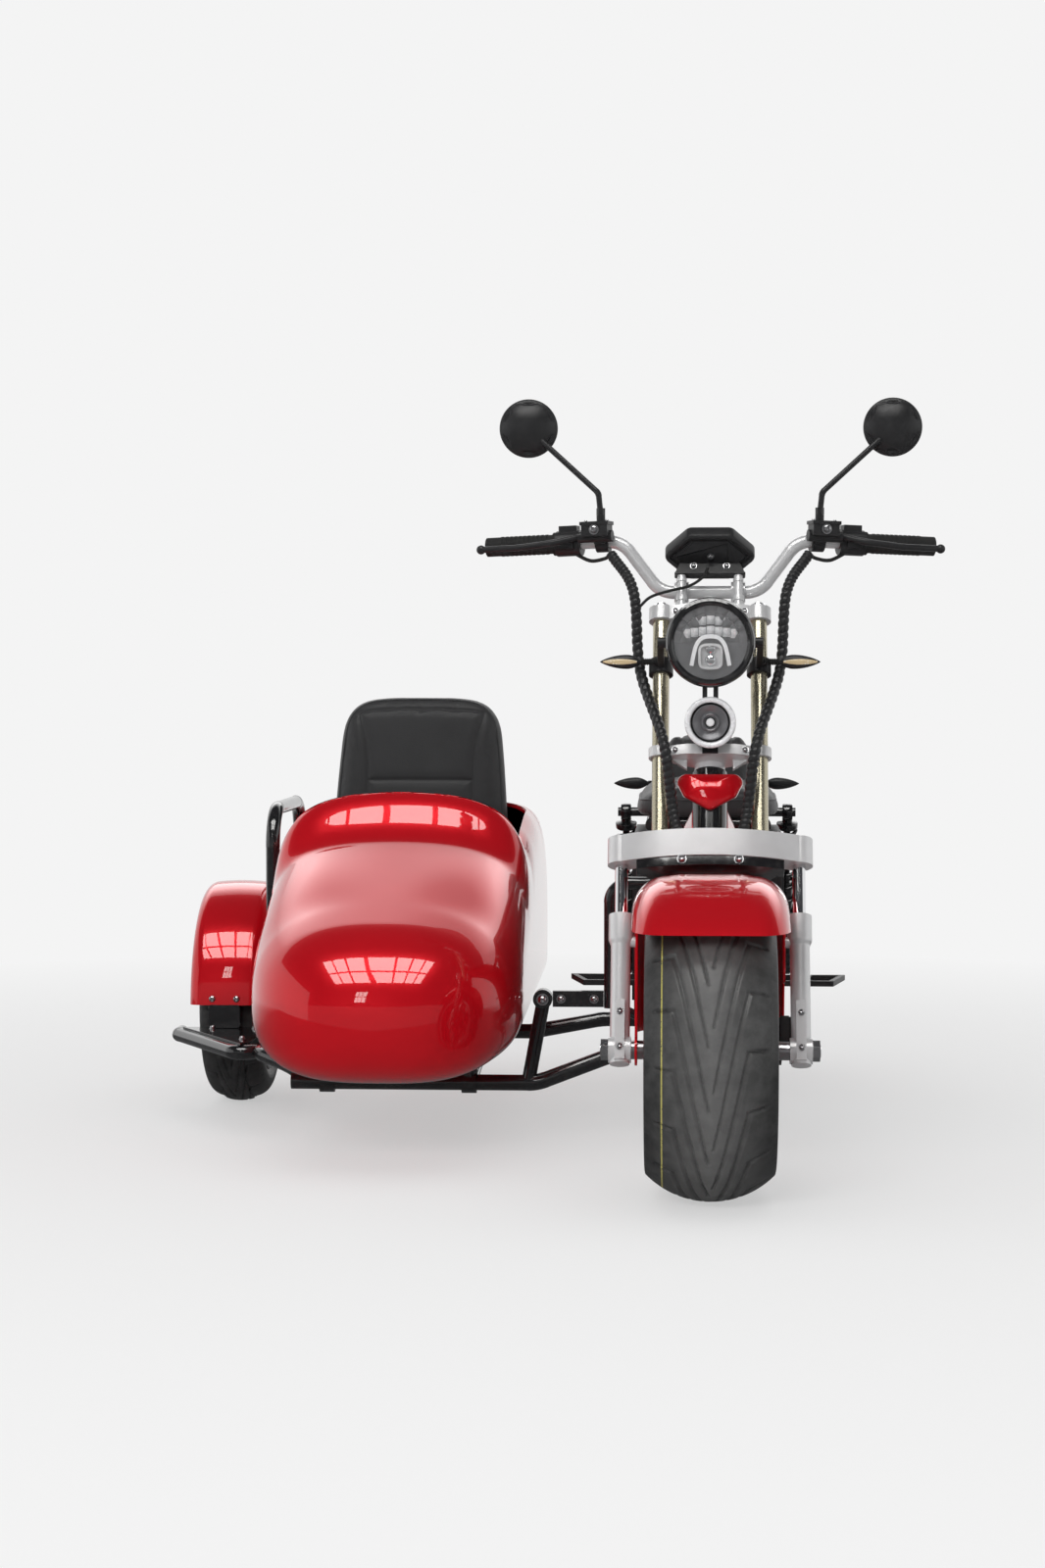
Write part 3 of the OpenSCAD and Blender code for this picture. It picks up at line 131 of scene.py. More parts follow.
class Wire:
    """A socket in a material: sums and products of wires and numbers add Math nodes."""

    def __init__(self, tree, socket=None):
        self.tree = tree
        self.socket = socket

    def node(self, kind, settings=None, sockets=None, out=0):
        """Adds any node: its settings first, then its sockets' values or links."""
        made = self.tree.nodes.new(kind)
        for name, value in (settings or {}).items():
            setattr(made, name, value)
        for name, value in (sockets or {}).items():
            if isinstance(value, Wire):
                self.tree.links.new(value.socket, made.inputs[name])
            else:
                made.inputs[name].default_value = value
        return Wire(self.tree, made.outputs[out] if made.outputs else None)

    def maths(self, operation, *values):
        return self.node("ShaderNodeMath", {"operation": operation}, dict(enumerate(values)))

    def __add__(self, other):
        return self.maths("ADD", self, other)

    __radd__ = __add__

    def __sub__(self, other):
        return self.maths("SUBTRACT", self, other)

    def __rsub__(self, other):
        return self.maths("SUBTRACT", other, self)

    def __mul__(self, other):
        return self.maths("MULTIPLY", self, other)

    __rmul__ = __mul__

    def __gt__(self, other):
        return self.maths("GREATER_THAN", self, other)

    def __lt__(self, other):
        return self.maths("LESS_THAN", self, other)

    def __abs__(self):
        return self.maths("ABSOLUTE", self)

    def noise(self, scale, detail=2.0, rough=0.5):
        """Noise from 0 to 1 at so many cells a metre, with this wire as its place."""
        return self.node("ShaderNodeTexNoise", None,
                         {"Vector": self, "Scale": scale, "Detail": detail, "Roughness": rough})

    def cells(self, scale, spread=1.0):
        """Distance to the nearest of scattered points, at so many cells a metre."""
        return self.node("ShaderNodeTexVoronoi", None,
                         {"Vector": self, "Scale": scale, "Randomness": spread})

    def between(self, low, high):
        """This wire stretched so that low becomes 0 and high becomes 1."""
        return self.node("ShaderNodeMapRange", None, {"Value": self, "From Min": low, "From Max": high})

    def tint(self, first, second):
        """Colour that runs from the first to the second as this wire runs from 0 to 1."""
        first, second = ((*c, 1.0) if isinstance(c, (tuple, list)) else c for c in (first, second))
        return self.node("ShaderNodeMix", {"data_type": "RGBA"}, {0: self, 6: first, 7: second}, out=2)

    def bump(self, strength, depth):
        """Normal of a surface that this wire raises by so many metres."""
        return self.node("ShaderNodeBump", None, {"Strength": strength, "Distance": depth, "Height": self})

    def stretched(self, scale):
        """This place with a scale of its own along each axis."""
        return self.node("ShaderNodeMapping", None, {"Vector": self, "Scale": scale})

    def axis(self, name):
        """One coordinate of a place."""
        return self.node("ShaderNodeSeparateXYZ", None, {"Vector": self}, out=name)


def surface(name, constants, vary):
    """The material of that name: constants on its shader, and vary(place) for what changes over it."""
    found = bpy.data.materials.get(name)
    if found:
        return found
    made = bpy.data.materials.new(name)
    made.use_nodes = True
    tree = made.node_tree
    shader = tree.nodes["Principled BSDF"]
    for socket, value in constants.items():
        shader.inputs[socket].default_value = value
    place = Wire(tree).node("ShaderNodeTexCoord", out="Object")
    for socket, wire in vary(place).items():
        tree.links.new(wire.socket, shader.inputs[socket])
    return made


def paints():
    return bpy.context.scene.sidecar_paints


def shade(colour, factor):
    """A colour made lighter or darker."""
    return tuple(min(1.0, c * factor) for c in colour)


def candy_red():
    paint = paints()

    def vary(place):
        flake = place.noise(2600, 1.0)
        cloud = place.noise(5, 3.0)
        dust = place.noise(240, 4.0, 0.7).between(0.62, 0.8)
        peel = place.noise(130, 1.0)
        tone = flake * 0.55 + cloud * 0.45
        return {"Base Color": tone.tint(tuple(paint.red_shade), tuple(paint.red)),
                "Roughness": flake * 0.1 + 0.24 + dust * 0.04,
                "Normal": peel.bump(0.05, 0.0004)}
    return surface("candy_red_paint",
                   {"Metallic": 0.28, "Specular IOR Level": 0.1, "Coat Weight": 1.0, "Coat IOR": 1.46,
                                       "Coat Roughness": 0.02}, vary)


def gloss_black():
    base = tuple(paints().tube)

    def vary(place):
        dust = place.noise(90, 5.0, 0.7).between(0.5, 0.85)
        peel = place.noise(260, 1.0)
        return {"Base Color": dust.tint(base, (0.035, 0.034, 0.033)),
                "Roughness": dust * 0.14 + 0.16,
                "Normal": peel.bump(0.06, 0.0003)}
    return surface("gloss_black_tube", {"Coat Weight": 0.6, "Coat Roughness": 0.05}, vary)


def satin_black():
    def vary(place):
        grain = place.noise(1500, 2.0)
        worn = place.noise(60, 4.0, 0.65)
        return {"Base Color": worn.tint((0.014, 0.014, 0.015), (0.030, 0.030, 0.031)),
                "Roughness": grain * 0.14 + worn * 0.12 + 0.3,
                "Normal": grain.bump(0.07, 0.0001)}
    return surface("satin_black_plastic", {"Specular IOR Level": 0.45}, vary)


def soft_rubber():
    def vary(place):
        grain = place.noise(2200, 2.0)
        bloom = place.noise(45, 4.0, 0.6)
        return {"Base Color": bloom.tint((0.016, 0.016, 0.016), (0.034, 0.034, 0.033)),
                "Roughness": bloom * 0.2 + 0.55,
                "Normal": grain.bump(0.3, 0.0002)}
    return surface("soft_black_rubber", {"Specular IOR Level": 0.35}, vary)


def tyre_rubber():
    base = tuple(paints().rubber)

    def vary(place):
        grain = place.noise(1300, 3.0)
        dust = place.noise(38, 5.0, 0.65).between(0.38, 0.82)
        scuff = place.cells(170).between(0.05, 0.0)
        lateral = place.axis("X") - SHIFT[0] / 1000
        # A worn yellow line beside the middle of the tread.
        aside, half = 0.0755, 0.0011
        stripe = abs(lateral + aside) < half
        mark = stripe * (place.noise(300, 2.0) > 0.36)
        # Painted highlight: the mask below lightens each bike tyre's tread towards its middle for the sheen
        # of the front light; the dust in the same mix is real and random.
        worn = abs(lateral).between(0.098, 0.0)
        colour = (dust * 0.35 + worn * 0.75).tint(shade(base, 0.55), (0.15, 0.149, 0.147))
        colour = (scuff * 0.7).tint(colour, (0.2, 0.2, 0.2))
        colour = (mark * 0.8).tint(colour, (0.56, 0.5, 0.12))
        return {"Base Color": colour,
                "Roughness": dust * 0.14 + 0.36 + grain * 0.08,
                "Normal": grain.bump(0.25, 0.0003)}
    return surface("tyre_rubber", {"Specular IOR Level": 0.5}, vary)


def fork_silver():
    base = tuple(paints().silver)

    def vary(place):
        grain = place.noise(900, 3.0)
        cloud = place.noise(30, 3.0)
        return {"Base Color": cloud.tint(shade(base, 0.9), shade(base, 1.07)),
                "Roughness": grain * 0.1 + 0.27 + cloud * 0.06,
                "Normal": grain.bump(0.05, 0.0001)}
    return surface("fork_silver_paint", {"Metallic": 0.3, "Coat Weight": 0.3, "Coat Roughness": 0.1}, vary)


def cast_alloy():
    def vary(place):
        grain = place.noise(700, 4.0, 0.6)
        grime = place.noise(26, 4.0, 0.6)
        return {"Base Color": grime.tint((0.40, 0.40, 0.41), (0.58, 0.58, 0.59)),
                "Roughness": grain * 0.18 + grime * 0.1 + 0.26,
                "Normal": grain.bump(0.3, 0.0003)}
    return surface("cast_alloy", {"Metallic": 0.9}, vary)


def polished_chrome():
    def vary(place):
        smear = place.noise(30, 5.0, 0.65)
        pit = place.noise(1600, 2.0)
        return {"Base Color": smear.tint((0.70, 0.71, 0.72), (0.86, 0.86, 0.87)),
                "Roughness": smear * 0.1 + 0.04,
                "Normal": pit.bump(0.03, 0.0001)}
    return surface("polished_chrome", {"Metallic": 1.0}, vary)


def champagne_tube():
    base = tuple(paints().champagne)

    def vary(place):
        streak = place.stretched((900.0, 900.0, 20.0))
        line = streak.noise(1.0, 2.0)
        return {"Base Color": line.tint(shade(base, 0.95), shade(base, 1.06)),
                "Roughness": line * 0.14 + 0.2,
                "Normal": line.bump(0.01, 0.0001)}
    return surface("champagne_anodised", {"Metallic": 0.8}, vary)


def brushed_steel():
    def vary(place):
        along = place.stretched((60.0, 1400.0, 1400.0))
        line = along.noise(1.0, 3.0)
        cloud = place.noise(40, 3.0)
        return {"Base Color": cloud.tint((0.42, 0.42, 0.43), (0.62, 0.62, 0.63)),
                "Roughness": line * 0.2 + 0.2,
                "Normal": line.bump(0.12, 0.0001)}
    return surface("brushed_steel", {"Metallic": 1.0}, vary)


def seat_vinyl():
    base = tuple(paints().vinyl)

    def vary(place):
        pebble = place.cells(520).between(0.0, 0.75)
        crease = place.noise(210, 4.0, 0.6)
        worn = place.noise(9, 3.0)
        height = pebble * 0.6 + crease * 0.4
        return {"Base Color": worn.tint(shade(base, 0.8), shade(base, 1.5)),
                "Roughness": height * 0.16 + worn * 0.1 + 0.36,
                "Normal": height.bump(0.34, 0.0006)}
    return surface("seat_vinyl",
                   {"Specular IOR Level": 0.45, "Sheen Weight": 0.08, "Sheen Roughness": 0.4}, vary)


def tub_lining():
    def vary(place):
        tuft = place.noise(1100, 3.0, 0.7)
        patch = place.noise(24, 3.0)
        return {"Base Color": (tuft * 0.7 + patch * 0.3).tint((0.006, 0.006, 0.007), (0.034, 0.033, 0.034)),
                "Roughness": tuft * 0.1 + 0.86,
                "Normal": tuft.bump(0.7, 0.0012)}
    return surface("tub_lining_felt", {"Specular IOR Level": 0.15}, vary)


def mirror_glass():
    def vary(place):
        smear = place.noise(50, 4.0)
        return {"Base Color": smear.tint((0.80, 0.82, 0.84), (0.88, 0.89, 0.90)),
                "Roughness": smear * 0.04 + 0.005}
    return surface("mirror_glass", {"Metallic": 1.0}, vary)


def clear_lens():
    def vary(place):
        haze = place.noise(70, 4.0)
        return {"Base Color": haze.tint((0.80, 0.82, 0.83), (0.9, 0.9, 0.9)),
                "Roughness": haze * 0.03 + 0.01,
                "Alpha": haze * 0.04 + 0.04}
    return surface("clear_lens", {"IOR": 1.45}, vary)


def led_strip():
    def vary(place):
        dot = place.cells(210, spread=0.2).between(0.35, 0.1)
        return {"Base Color": dot.tint((0.62, 0.48, 0.28), (0.95, 0.92, 0.84)),
                "Roughness": 0.35 - dot * 0.15,
                "Normal": dot.bump(0.5, 0.001)}
    return surface("led_strip", {"Coat Weight": 0.6, "Coat Roughness": 0.05}, vary)


def tail_lens():
    def vary(place):
        prism = place.stretched((180.0, 180.0, 180.0))
        prism = prism.node("ShaderNodeTexChecker", None, {"Vector": prism, "Scale": 1.0}, out="Fac")
        wash = place.noise(60, 2.0)
        return {"Base Color": wash.tint((0.26, 0.002, 0.004), (0.42, 0.006, 0.01)),
                "Roughness": prism * 0.1 + 0.1,
                "Normal": prism.bump(0.25, 0.0008)}
    return surface("tail_lens", {"Coat Weight": 0.8, "Coat Roughness": 0.03}, vary)


def dark_glass():
    def vary(place):
        smear = place.noise(36, 4.0)
        return {"Base Color": smear.tint((0.006, 0.006, 0.008), (0.014, 0.014, 0.016)),
                "Roughness": smear * 0.06 + 0.03}
    return surface("dark_display_glass", {"Coat Weight": 0.5, "Coat Roughness": 0.02}, vary)


def seat_board():
    def vary(place):
        streak = place.stretched((14.0, 220.0, 220.0)).noise(1.0, 4.0)
        return {"Base Color": streak.tint((0.016, 0.015, 0.014), (0.05, 0.046, 0.042)),
                "Roughness": streak * 0.15 + 0.55,
                "Normal": streak.bump(0.3, 0.0004)}
    return surface("painted_board", {"Specular IOR Level": 0.3}, vary)


def rim_red():
    """Paint of the cast wheels' spokes and barrels."""
    paint = paints()

    def vary(place):
        grain = place.noise(800, 3.0)
        tone = place.noise(30, 3.0)
        return {"Base Color": tone.tint(tuple(paint.red_shade), tuple(paint.red)),
                "Roughness": grain * 0.12 + 0.26,
                "Normal": grain.bump(0.1, 0.0002)}
    return surface("rim_red_paint", {"Metallic": 0.4, "Coat Weight": 0.7, "Coat Roughness": 0.06}, vary)


def link(name, mesh, materials, body, nodes=()):
    """Puts a finished mesh into the scene as a piece that rides on a body."""
    piece = bpy.data.objects.new(name, mesh)
    bpy.context.scene.collection.objects.link(piece)
    for material in materials:
        mesh.materials.append(material)
    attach(piece, body)
    if nodes:
        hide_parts(*nodes)
    return piece


def mesh_of(name, points, faces, flat=None, slots=None, weld=2e-6, sliver=1e-7):
    """A smooth-shaded mesh from points in millimetres on the bike's axes, with seams welded in metres."""
    mesh = bpy.data.meshes.new(name)
    mesh.from_pydata(row(points).tolist(), [], faces)
    if slots is not None:
        mesh.polygons.foreach_set("material_index", slots)
    form = bmesh.new()
    form.from_mesh(mesh)
    bmesh.ops.remove_doubles(form, verts=form.verts, dist=weld)
    bmesh.ops.dissolve_degenerate(form, edges=form.edges, dist=sliver)
    bmesh.ops.recalc_face_normals(form, faces=form.faces)
    form.to_mesh(mesh)
    form.free()
    mesh.shade_smooth()
    if flat is not None:
        mesh.set_sharp_from_angle(angle=math.radians(flat))
    return mesh


def sheet_faces(rows, columns, around=False):
    """Quads of a grid of rows by columns, joined round its columns where asked."""
    last = columns if around else columns - 1
    return [(i * columns + j, i * columns + (j + 1) % columns,
             (i + 1) * columns + (j + 1) % columns, (i + 1) * columns + j)
            for i in range(rows - 1) for j in range(last)]


def frame_at(origin, along, up=(0, 0, 1)):
    """Matrix whose z runs along a direction, with x as near as it can be to up."""
    z = Vector(along).normalized()
    x = Vector(up) - z * z.dot(Vector(up))
    if x.length < 1e-4:
        x = Vector((1, 0, 0)) - z * z.x
    x.normalize()
    y = z.cross(x)
    return np.array([x, y, z]).T, np.asarray(origin, float)


class Shape:
    """Points and faces gathered for one mesh, in millimetres on the bike's axes."""

    def __init__(self):
        self.points = []
        self.faces = []

    def add(self, points, faces):
        start = len(self.points)
        self.points.extend(np.asarray(points, float).tolist())
        self.faces.extend(tuple(start + k for k in face) for face in faces)
        return self

    def loft(self, rings, ends=True):
        """A skin over rings of as many points each, closed at both ends where asked."""
        n = len(rings[0])
        faces = sheet_faces(len(rings), n, around=True)
        if ends:
            faces.append(tuple(range(n)))
            faces.append(tuple((len(rings) - 1) * n + k for k in range(n)))
        return self.add(np.vstack(rings), faces)

    def circles(self, profile, origin, along, sides):
        """Rings about an axis, one for each (radius, height) of a profile."""
        axes, base = frame_at(origin, along)
        angles = np.arange(sides) * 2 * math.pi / sides
        flat = np.column_stack([np.cos(angles), np.sin(angles), np.ones(sides)])
        return [flat * (r, r, h) @ axes.T + base for r, h in profile]

    def turned(self, profile, origin, along, sides=32):
        """A turned form: profile of (radius, height) along an axis, with a flat cap at either end."""
        return self.loft(self.circles(profile, origin, along, sides))

    def hoop(self, profile, origin, along, sides=48):
        """A ring: closed profile of (radius, height) turned about an axis."""
        rings = self.circles(profile, origin, along, sides)
        return self.loft(rings + rings[:1], ends=False)

    def tube(self, path, radius, sides=16, ends=True):
        """A round tube along a path, with one radius or a function of (share of the path, angles)."""
        path = np.asarray(path, float)
        n = len(path)
        way = np.gradient(path, axis=0)
        way /= np.linalg.norm(way, axis=1)[:, None]
        side = np.cross(way[0], (0.0, 0.0, 1.0))
        if np.linalg.norm(side) < 0.1:
            side = np.cross(way[0], (1.0, 0.0, 0.0))
        angles = np.arange(sides) * 2 * math.pi / sides
        points = []
        for i in range(n):
            side = side - way[i] * (side @ way[i])
            side /= np.linalg.norm(side)
            other = np.cross(way[i], side)
            r = radius(i / (n - 1), angles) if callable(radius) else radius
            points.append(path[i] + np.outer(r * np.cos(angles), side)
                          + np.outer(r * np.sin(angles), other))
        return self.loft(points, ends)

    def bolt(self, origin, along, size, high=None, washer=True):
        """A domed socket-head bolt on its washer, standing on a surface."""
        r, h = size / 2, high or 0.55 * size
        foot = 0.12 * size if washer else 0.0
        rim = [(1.32 * r, -0.4), (1.32 * r, foot)] if washer else [(r, -0.4)]
        profile = rim + [(r, foot), (r, foot + 0.45 * h), (0.92 * r, foot + 0.7 * h),
                         (0.72 * r, foot + 0.9 * h), (0.5 * r, foot + h), (0.44 * r, foot + 0.98 * h),
                         (0.4 * r, foot + 0.5 * h), (0.01, foot + 0.45 * h)]
        return self.turned(profile, origin, along, 20)

    def piece(self, name, flat, finish, body, slot, *nodes):
        """The gathered form as a piece, with edges sharper than an angle kept flat."""
        return link(name, mesh_of(name, self.points, self.faces, flat), [finish()], body, nodes)


def smooth_path(points, steps):
    """A smooth path through points, in so many steps a span."""
    p = np.asarray(points, float)
    q = np.vstack([2 * p[0] - p[1], p, 2 * p[-1] - p[-2]])
    out = []
    for i in range(1, len(q) - 2):
        a, b, c, d = q[i - 1:i + 3]
        for t in np.arange(steps) / steps:
            out.append(0.5 * (2 * b + (c - a) * t + (2 * a - 5 * b + 4 * c - d) * t ** 2
                              + (3 * b - a - 3 * c + d) * t ** 3))
    out.append(p[-1])
    return np.array(out)


def both_sides(points):
    """A chain of points and its mirror image over the bike's centre plane."""
    p = np.asarray(points, float)
    return p, p * np.array([-1.0, 1.0, 1.0])


def ease(t):
    t = min(1.0, max(0.0, t))
    return t * t * (3 - 2 * t)


def bulge(t, n):
    """Superellipse: height over the middle at the share t of the half width."""
    return max(0.0, 1 - min(1.0, abs(t)) ** n) ** (1 / n)


class Tub:
    """The sidecar tub's form along its length, in millimetres on the bike's axes."""

    nose, length, half, deck, lip, wall, waist_z = 138.0, 1342.0, 236.0, 562.0, 52.0, 6.0, 275.0
    cowl, back = 655.0, 1130.0
    end = nose + length

    @classmethod
    def top(cls, y):
        r, a, z0 = 190.0, math.radians(21), 240.0
        y1, z1 = cls.nose + r * (1 - math.sin(a)), z0 + r * math.cos(a)
        t = (y - cls.nose) / r
        slope = (cls.deck - z1) / (cls.cowl - 15 - y1)
        fore = z0 + r * math.sqrt(max(0.0, 1 - (1 - t) ** 2)) if y < y1 else z1 + slope * (y - y1)
        rear = cls.deck + 20 - 27 * (1 - ease((y - cls.cowl - 110) / 260)) - 12 * ease((y - 1150) / 250)
        tail = (y - cls.end + 150) / 150
        if y < cls.cowl:
            return fore + cls.lip * ease((y - 560) / (cls.cowl - 560)) ** 1.6
        if y < cls.cowl + 110:
            return cls.deck + cls.lip + 6 - (cls.lip + 13) * ease((y - cls.cowl) / 110)
        if tail <= 0:
            return rear
        return cls.waist_z + 40 + (rear - cls.waist_z - 40) * bulge(tail, 2.2)

    @classmethod
    def keel(cls, y):
        t, tail = (cls.nose + 150 - y) / 150, (y - cls.end + 130) / 130
        flat = 146 + 0.04 * (y - 300)
        if t > 0:
            return 240 - (240 - flat) * bulge(t, 2.2)
        if tail > 0:
            return flat + (cls.waist_z + 40 - flat) * (1 - bulge(tail, 2.2))
        return flat

    @classmethod
    def side(cls, y):
        t, tail = (cls.nose + 300 - y) / 300, (y - cls.end + 230) / 230
        return cls.half * (bulge(t, 2.4) if t > 0 else bulge(tail, 2.6) if tail > 0 else 1)

    @classmethod
    def waist(cls, y):
        if y > cls.end - 150:
            return cls.waist_z + 40 * ease((y - cls.end + 150) / 150)
        return min(cls.waist_z, 240 + 0.2 * (y - cls.nose))

    @classmethod
    def square(cls, y):
        """How square the upper corners are: round at both ends, boxy beside the seat."""
        return (2.5 + 2.5 * ease((y - cls.nose - 192) / 300) + 3 * ease((y - cls.cowl + 15) / 160)
                - 5 * ease((y - cls.end + 330) / 250))

    @classmethod
    def ring(cls, y, angles, wall):
        """Points of the section at y, at angles from the bike's side over the top, shrunk by a wall."""
        inward = 1 - ease((y - cls.nose - 120) / 200) - ease((y - cls.end + 280) / 160)
        q = y - wall * inward
        w, m = max(2.0, cls.side(q) - wall), cls.waist(q)
        up, down = max(2.0, cls.top(q) - wall - m), max(2.0, m - cls.keel(q) - wall)
        c, s = np.cos(angles), np.sin(angles)
        n = np.where(s > 0, cls.square(q), 3.0)
        k = (np.abs(c) ** n + np.abs(s) ** n) ** (-1 / n)
        arch = 36 * ease((q - 340) / 290) * (1 - ease((q - cls.cowl - 30) / 150))
        fall = np.where(s > 0, arch * (k * c) ** 2 * np.clip(k * s, 0, 1), 0)
        return np.column_stack([TUB_X + w * k * c, np.full(len(c), y),
                                m + np.where(s > 0, up, down) * k * s - fall])

    @classmethod
    def opening(cls, y):
        """Half width of the cockpit opening at y."""
        half = cls.half - 30
        if y < cls.cowl + 40:
            return half - 40 + math.sqrt(max(0.0, 40 ** 2 - (cls.cowl + 40 - y) ** 2))
        if y > cls.back - 90:
            return half - 90 + math.sqrt(max(0.0, 90 ** 2 - (y - cls.back + 90) ** 2))
        return half

    @classmethod
    def edge_angle(cls, y, wall):
        """Angle of the opening's edge on the section at y."""
        y = min(cls.back, max(cls.cowl, y))
        target, low, high = cls.opening(y), 0.0, math.pi / 2
        for _ in range(40):
            mid = (low + high) / 2
            x = cls.ring(y, np.array([mid]), wall)[0, 0] - TUB_X
            low, high = (mid, high) if x > target else (low, mid)
        return (low + high) / 2


def tub_stations(inset):
    """Stations along the tub, close together at both ends, the cowl lip and the opening's corners."""
    nose, end = Tub.nose + inset, Tub.end - inset
    quarter = np.radians(np.linspace(0, 78, 30))
    return np.concatenate([
        nose + 150 * (1 - np.cos(quarter)), np.linspace(262, 555, 34), np.linspace(560, Tub.cowl, 30),
        Tub.cowl + 40 * (1 - np.cos(np.radians(np.linspace(9, 90, 12)))), np.linspace(702, 1034, 36),
        Tub.back - 90 + 90 * np.sin(np.radians(np.linspace(0, 90, 20))),
        np.linspace(1136, end - 125, 16), (end - 150 * (1 - np.cos(quarter)))[::-1]])


class SIDECAR_OT_tub(bpy.types.Operator):
    """Builds the sidecar tub as one smooth skin with a lined inside and a rolled cockpit edge"""

    bl_idname = "sidecar.tub"
    bl_label = "Tub"

    def skin(self, shape, wall, low_n, top_n):
        """Adds one skin of the tub, outer or inner, and gives its cockpit edge in order."""
        ys = tub_stations(0.0 if wall == 0 else Tub.wall)
        lows, tops = [], {"fore": [], "rear": []}
        for y in ys:
            a = Tub.edge_angle(y, wall)
            lows.append(Tub.ring(y, np.linspace(a, -math.pi - a, low_n), wall))
            if y <= Tub.cowl + 1e-6:
                tops["fore"].append(Tub.ring(y, np.linspace(a, math.pi - a, top_n), wall))
            if y >= Tub.back - 1e-6:
                tops["rear"].append(Tub.ring(y, np.linspace(a, math.pi - a, top_n), wall))
        shape.add(np.vstack(lows), sheet_faces(len(lows), low_n))
        for part in tops.values():
            shape.add(np.vstack(part), sheet_faces(len(part), top_n))
        for ring in (0, -1):
            shape.add(np.vstack([lows[ring], tops["fore" if ring == 0 else "rear"][ring][::-1][1:-1]]),
                      [tuple(range(low_n + top_n - 2))])
        inside = [i for i, y in enumerate(ys) if Tub.cowl - 1e-6 <= y <= Tub.back + 1e-6]
        edge = [lows[i][0] for i in inside]
        edge += list(tops["rear"][0][1:-1])
        edge += [lows[i][-1] for i in reversed(inside)]
        edge += list(tops["fore"][-1][::-1][1:-1])
        return np.array(edge)

    def execute(self, context):
        outer, inner, roll = Shape(), Shape(), Shape()
        a = self.skin(outer, 0.0, 130, 60)
        b = self.skin(inner, Tub.wall, 70, 60)
        mid, half = (a + b) / 2, (a - b) / 2
        out = np.array([0, 0, 1.0])
        rolled = []
        for t in np.linspace(0, math.pi, 9):
            lift = np.linalg.norm(half, axis=1)[:, None] * out
            rolled.append(mid + half * math.cos(t) + lift * math.sin(t))
        roll.loft(rolled, ends=False)
        skin = Shape().add(outer.points, outer.faces)
        skin.add(roll.points, roll.faces)
        painted = len(skin.faces)
        skin.add(inner.points, inner.faces)
        slots = [0] * painted + [1] * (len(skin.faces) - painted)
        mesh = mesh_of("sidecar_tub", skin.points, skin.faces, None, slots, weld=2e-5, sliver=1e-6)
        link("sidecar_tub", mesh, [candy_red(), tub_lining()], "chassis", ["sidecar_body"])
        return {"FINISHED"}


def tyre_profile(d, w, bead, count):
    """Half-and-half section of a tyre, bead to bead: lateral place, radius and distance from the crown."""
    side, crown = 0.28 * w, 0.7 * w
    mid = bead / 2 + 0.42 * (d - bead) / 2
    a = np.linspace(0, w / 2, 400)
    tread = d / 2 - crown + np.sqrt(np.maximum(0, crown ** 2 - a ** 2))
    wall = np.where(a > w / 2 - side,
                    mid + np.sqrt(np.maximum(0, side ** 2 - (a - w / 2 + side) ** 2)), 1e9)
    upper = np.column_stack([a, np.minimum(tread, wall)])
    down = np.linspace(0, -math.asin(min(1.0, (mid - bead / 2 - 9) / side)), 80)
    lower = np.column_stack([w / 2 - side + side * np.cos(down), mid + side * np.sin(down)])
    half = np.vstack([upper, lower[1:]])
    step = np.concatenate([[0], np.cumsum(np.linalg.norm(np.diff(half, axis=0), axis=1))])
    even = np.linspace(0, step[-1], count // 2 + 1)
    right = np.column_stack([np.interp(even, step, half[:, 0]), np.interp(even, step, half[:, 1]), even])
    left = right[:0:-1] * np.array([-1, 1, -1])
    return np.vstack([left, right])


def swept_grooves(along, across, girth, pitches, width):
    """Depth share of long grooves that sweep from a shoulder hook to the middle of the tread."""
    depth = np.zeros_like(along)
    pitch = girth / pitches
    for side, offset in ((-1, 0.0), (1, 0.68)):
        t = side * across
        for turn in range(-4, 1):
            s = np.mod(along - offset * pitch, pitch) - turn * pitch
            share = np.clip((s - 8) / 258, 0, 1)
            centre = 60 - 56 * share ** 0.93
            run = np.abs(t - centre) * np.where(s > 8, 0.96, 1.0)
            wide = width * (0.62 - 0.26 * share)
            inside = (s > 4) & (s < 268)
            depth = np.maximum(depth, np.where(inside, np.clip(1.6 - run / wide, 0, 1), 0))
            hook = np.where((t > 56) & (t < 98),
                            np.clip(1.5 - np.abs(s - 5 + 0.1 * (t - 60)) / (0.55 * width), 0, 1), 0)
            depth = np.maximum(depth, hook * np.clip((98 - t) / 12, 0, 1))
    return depth


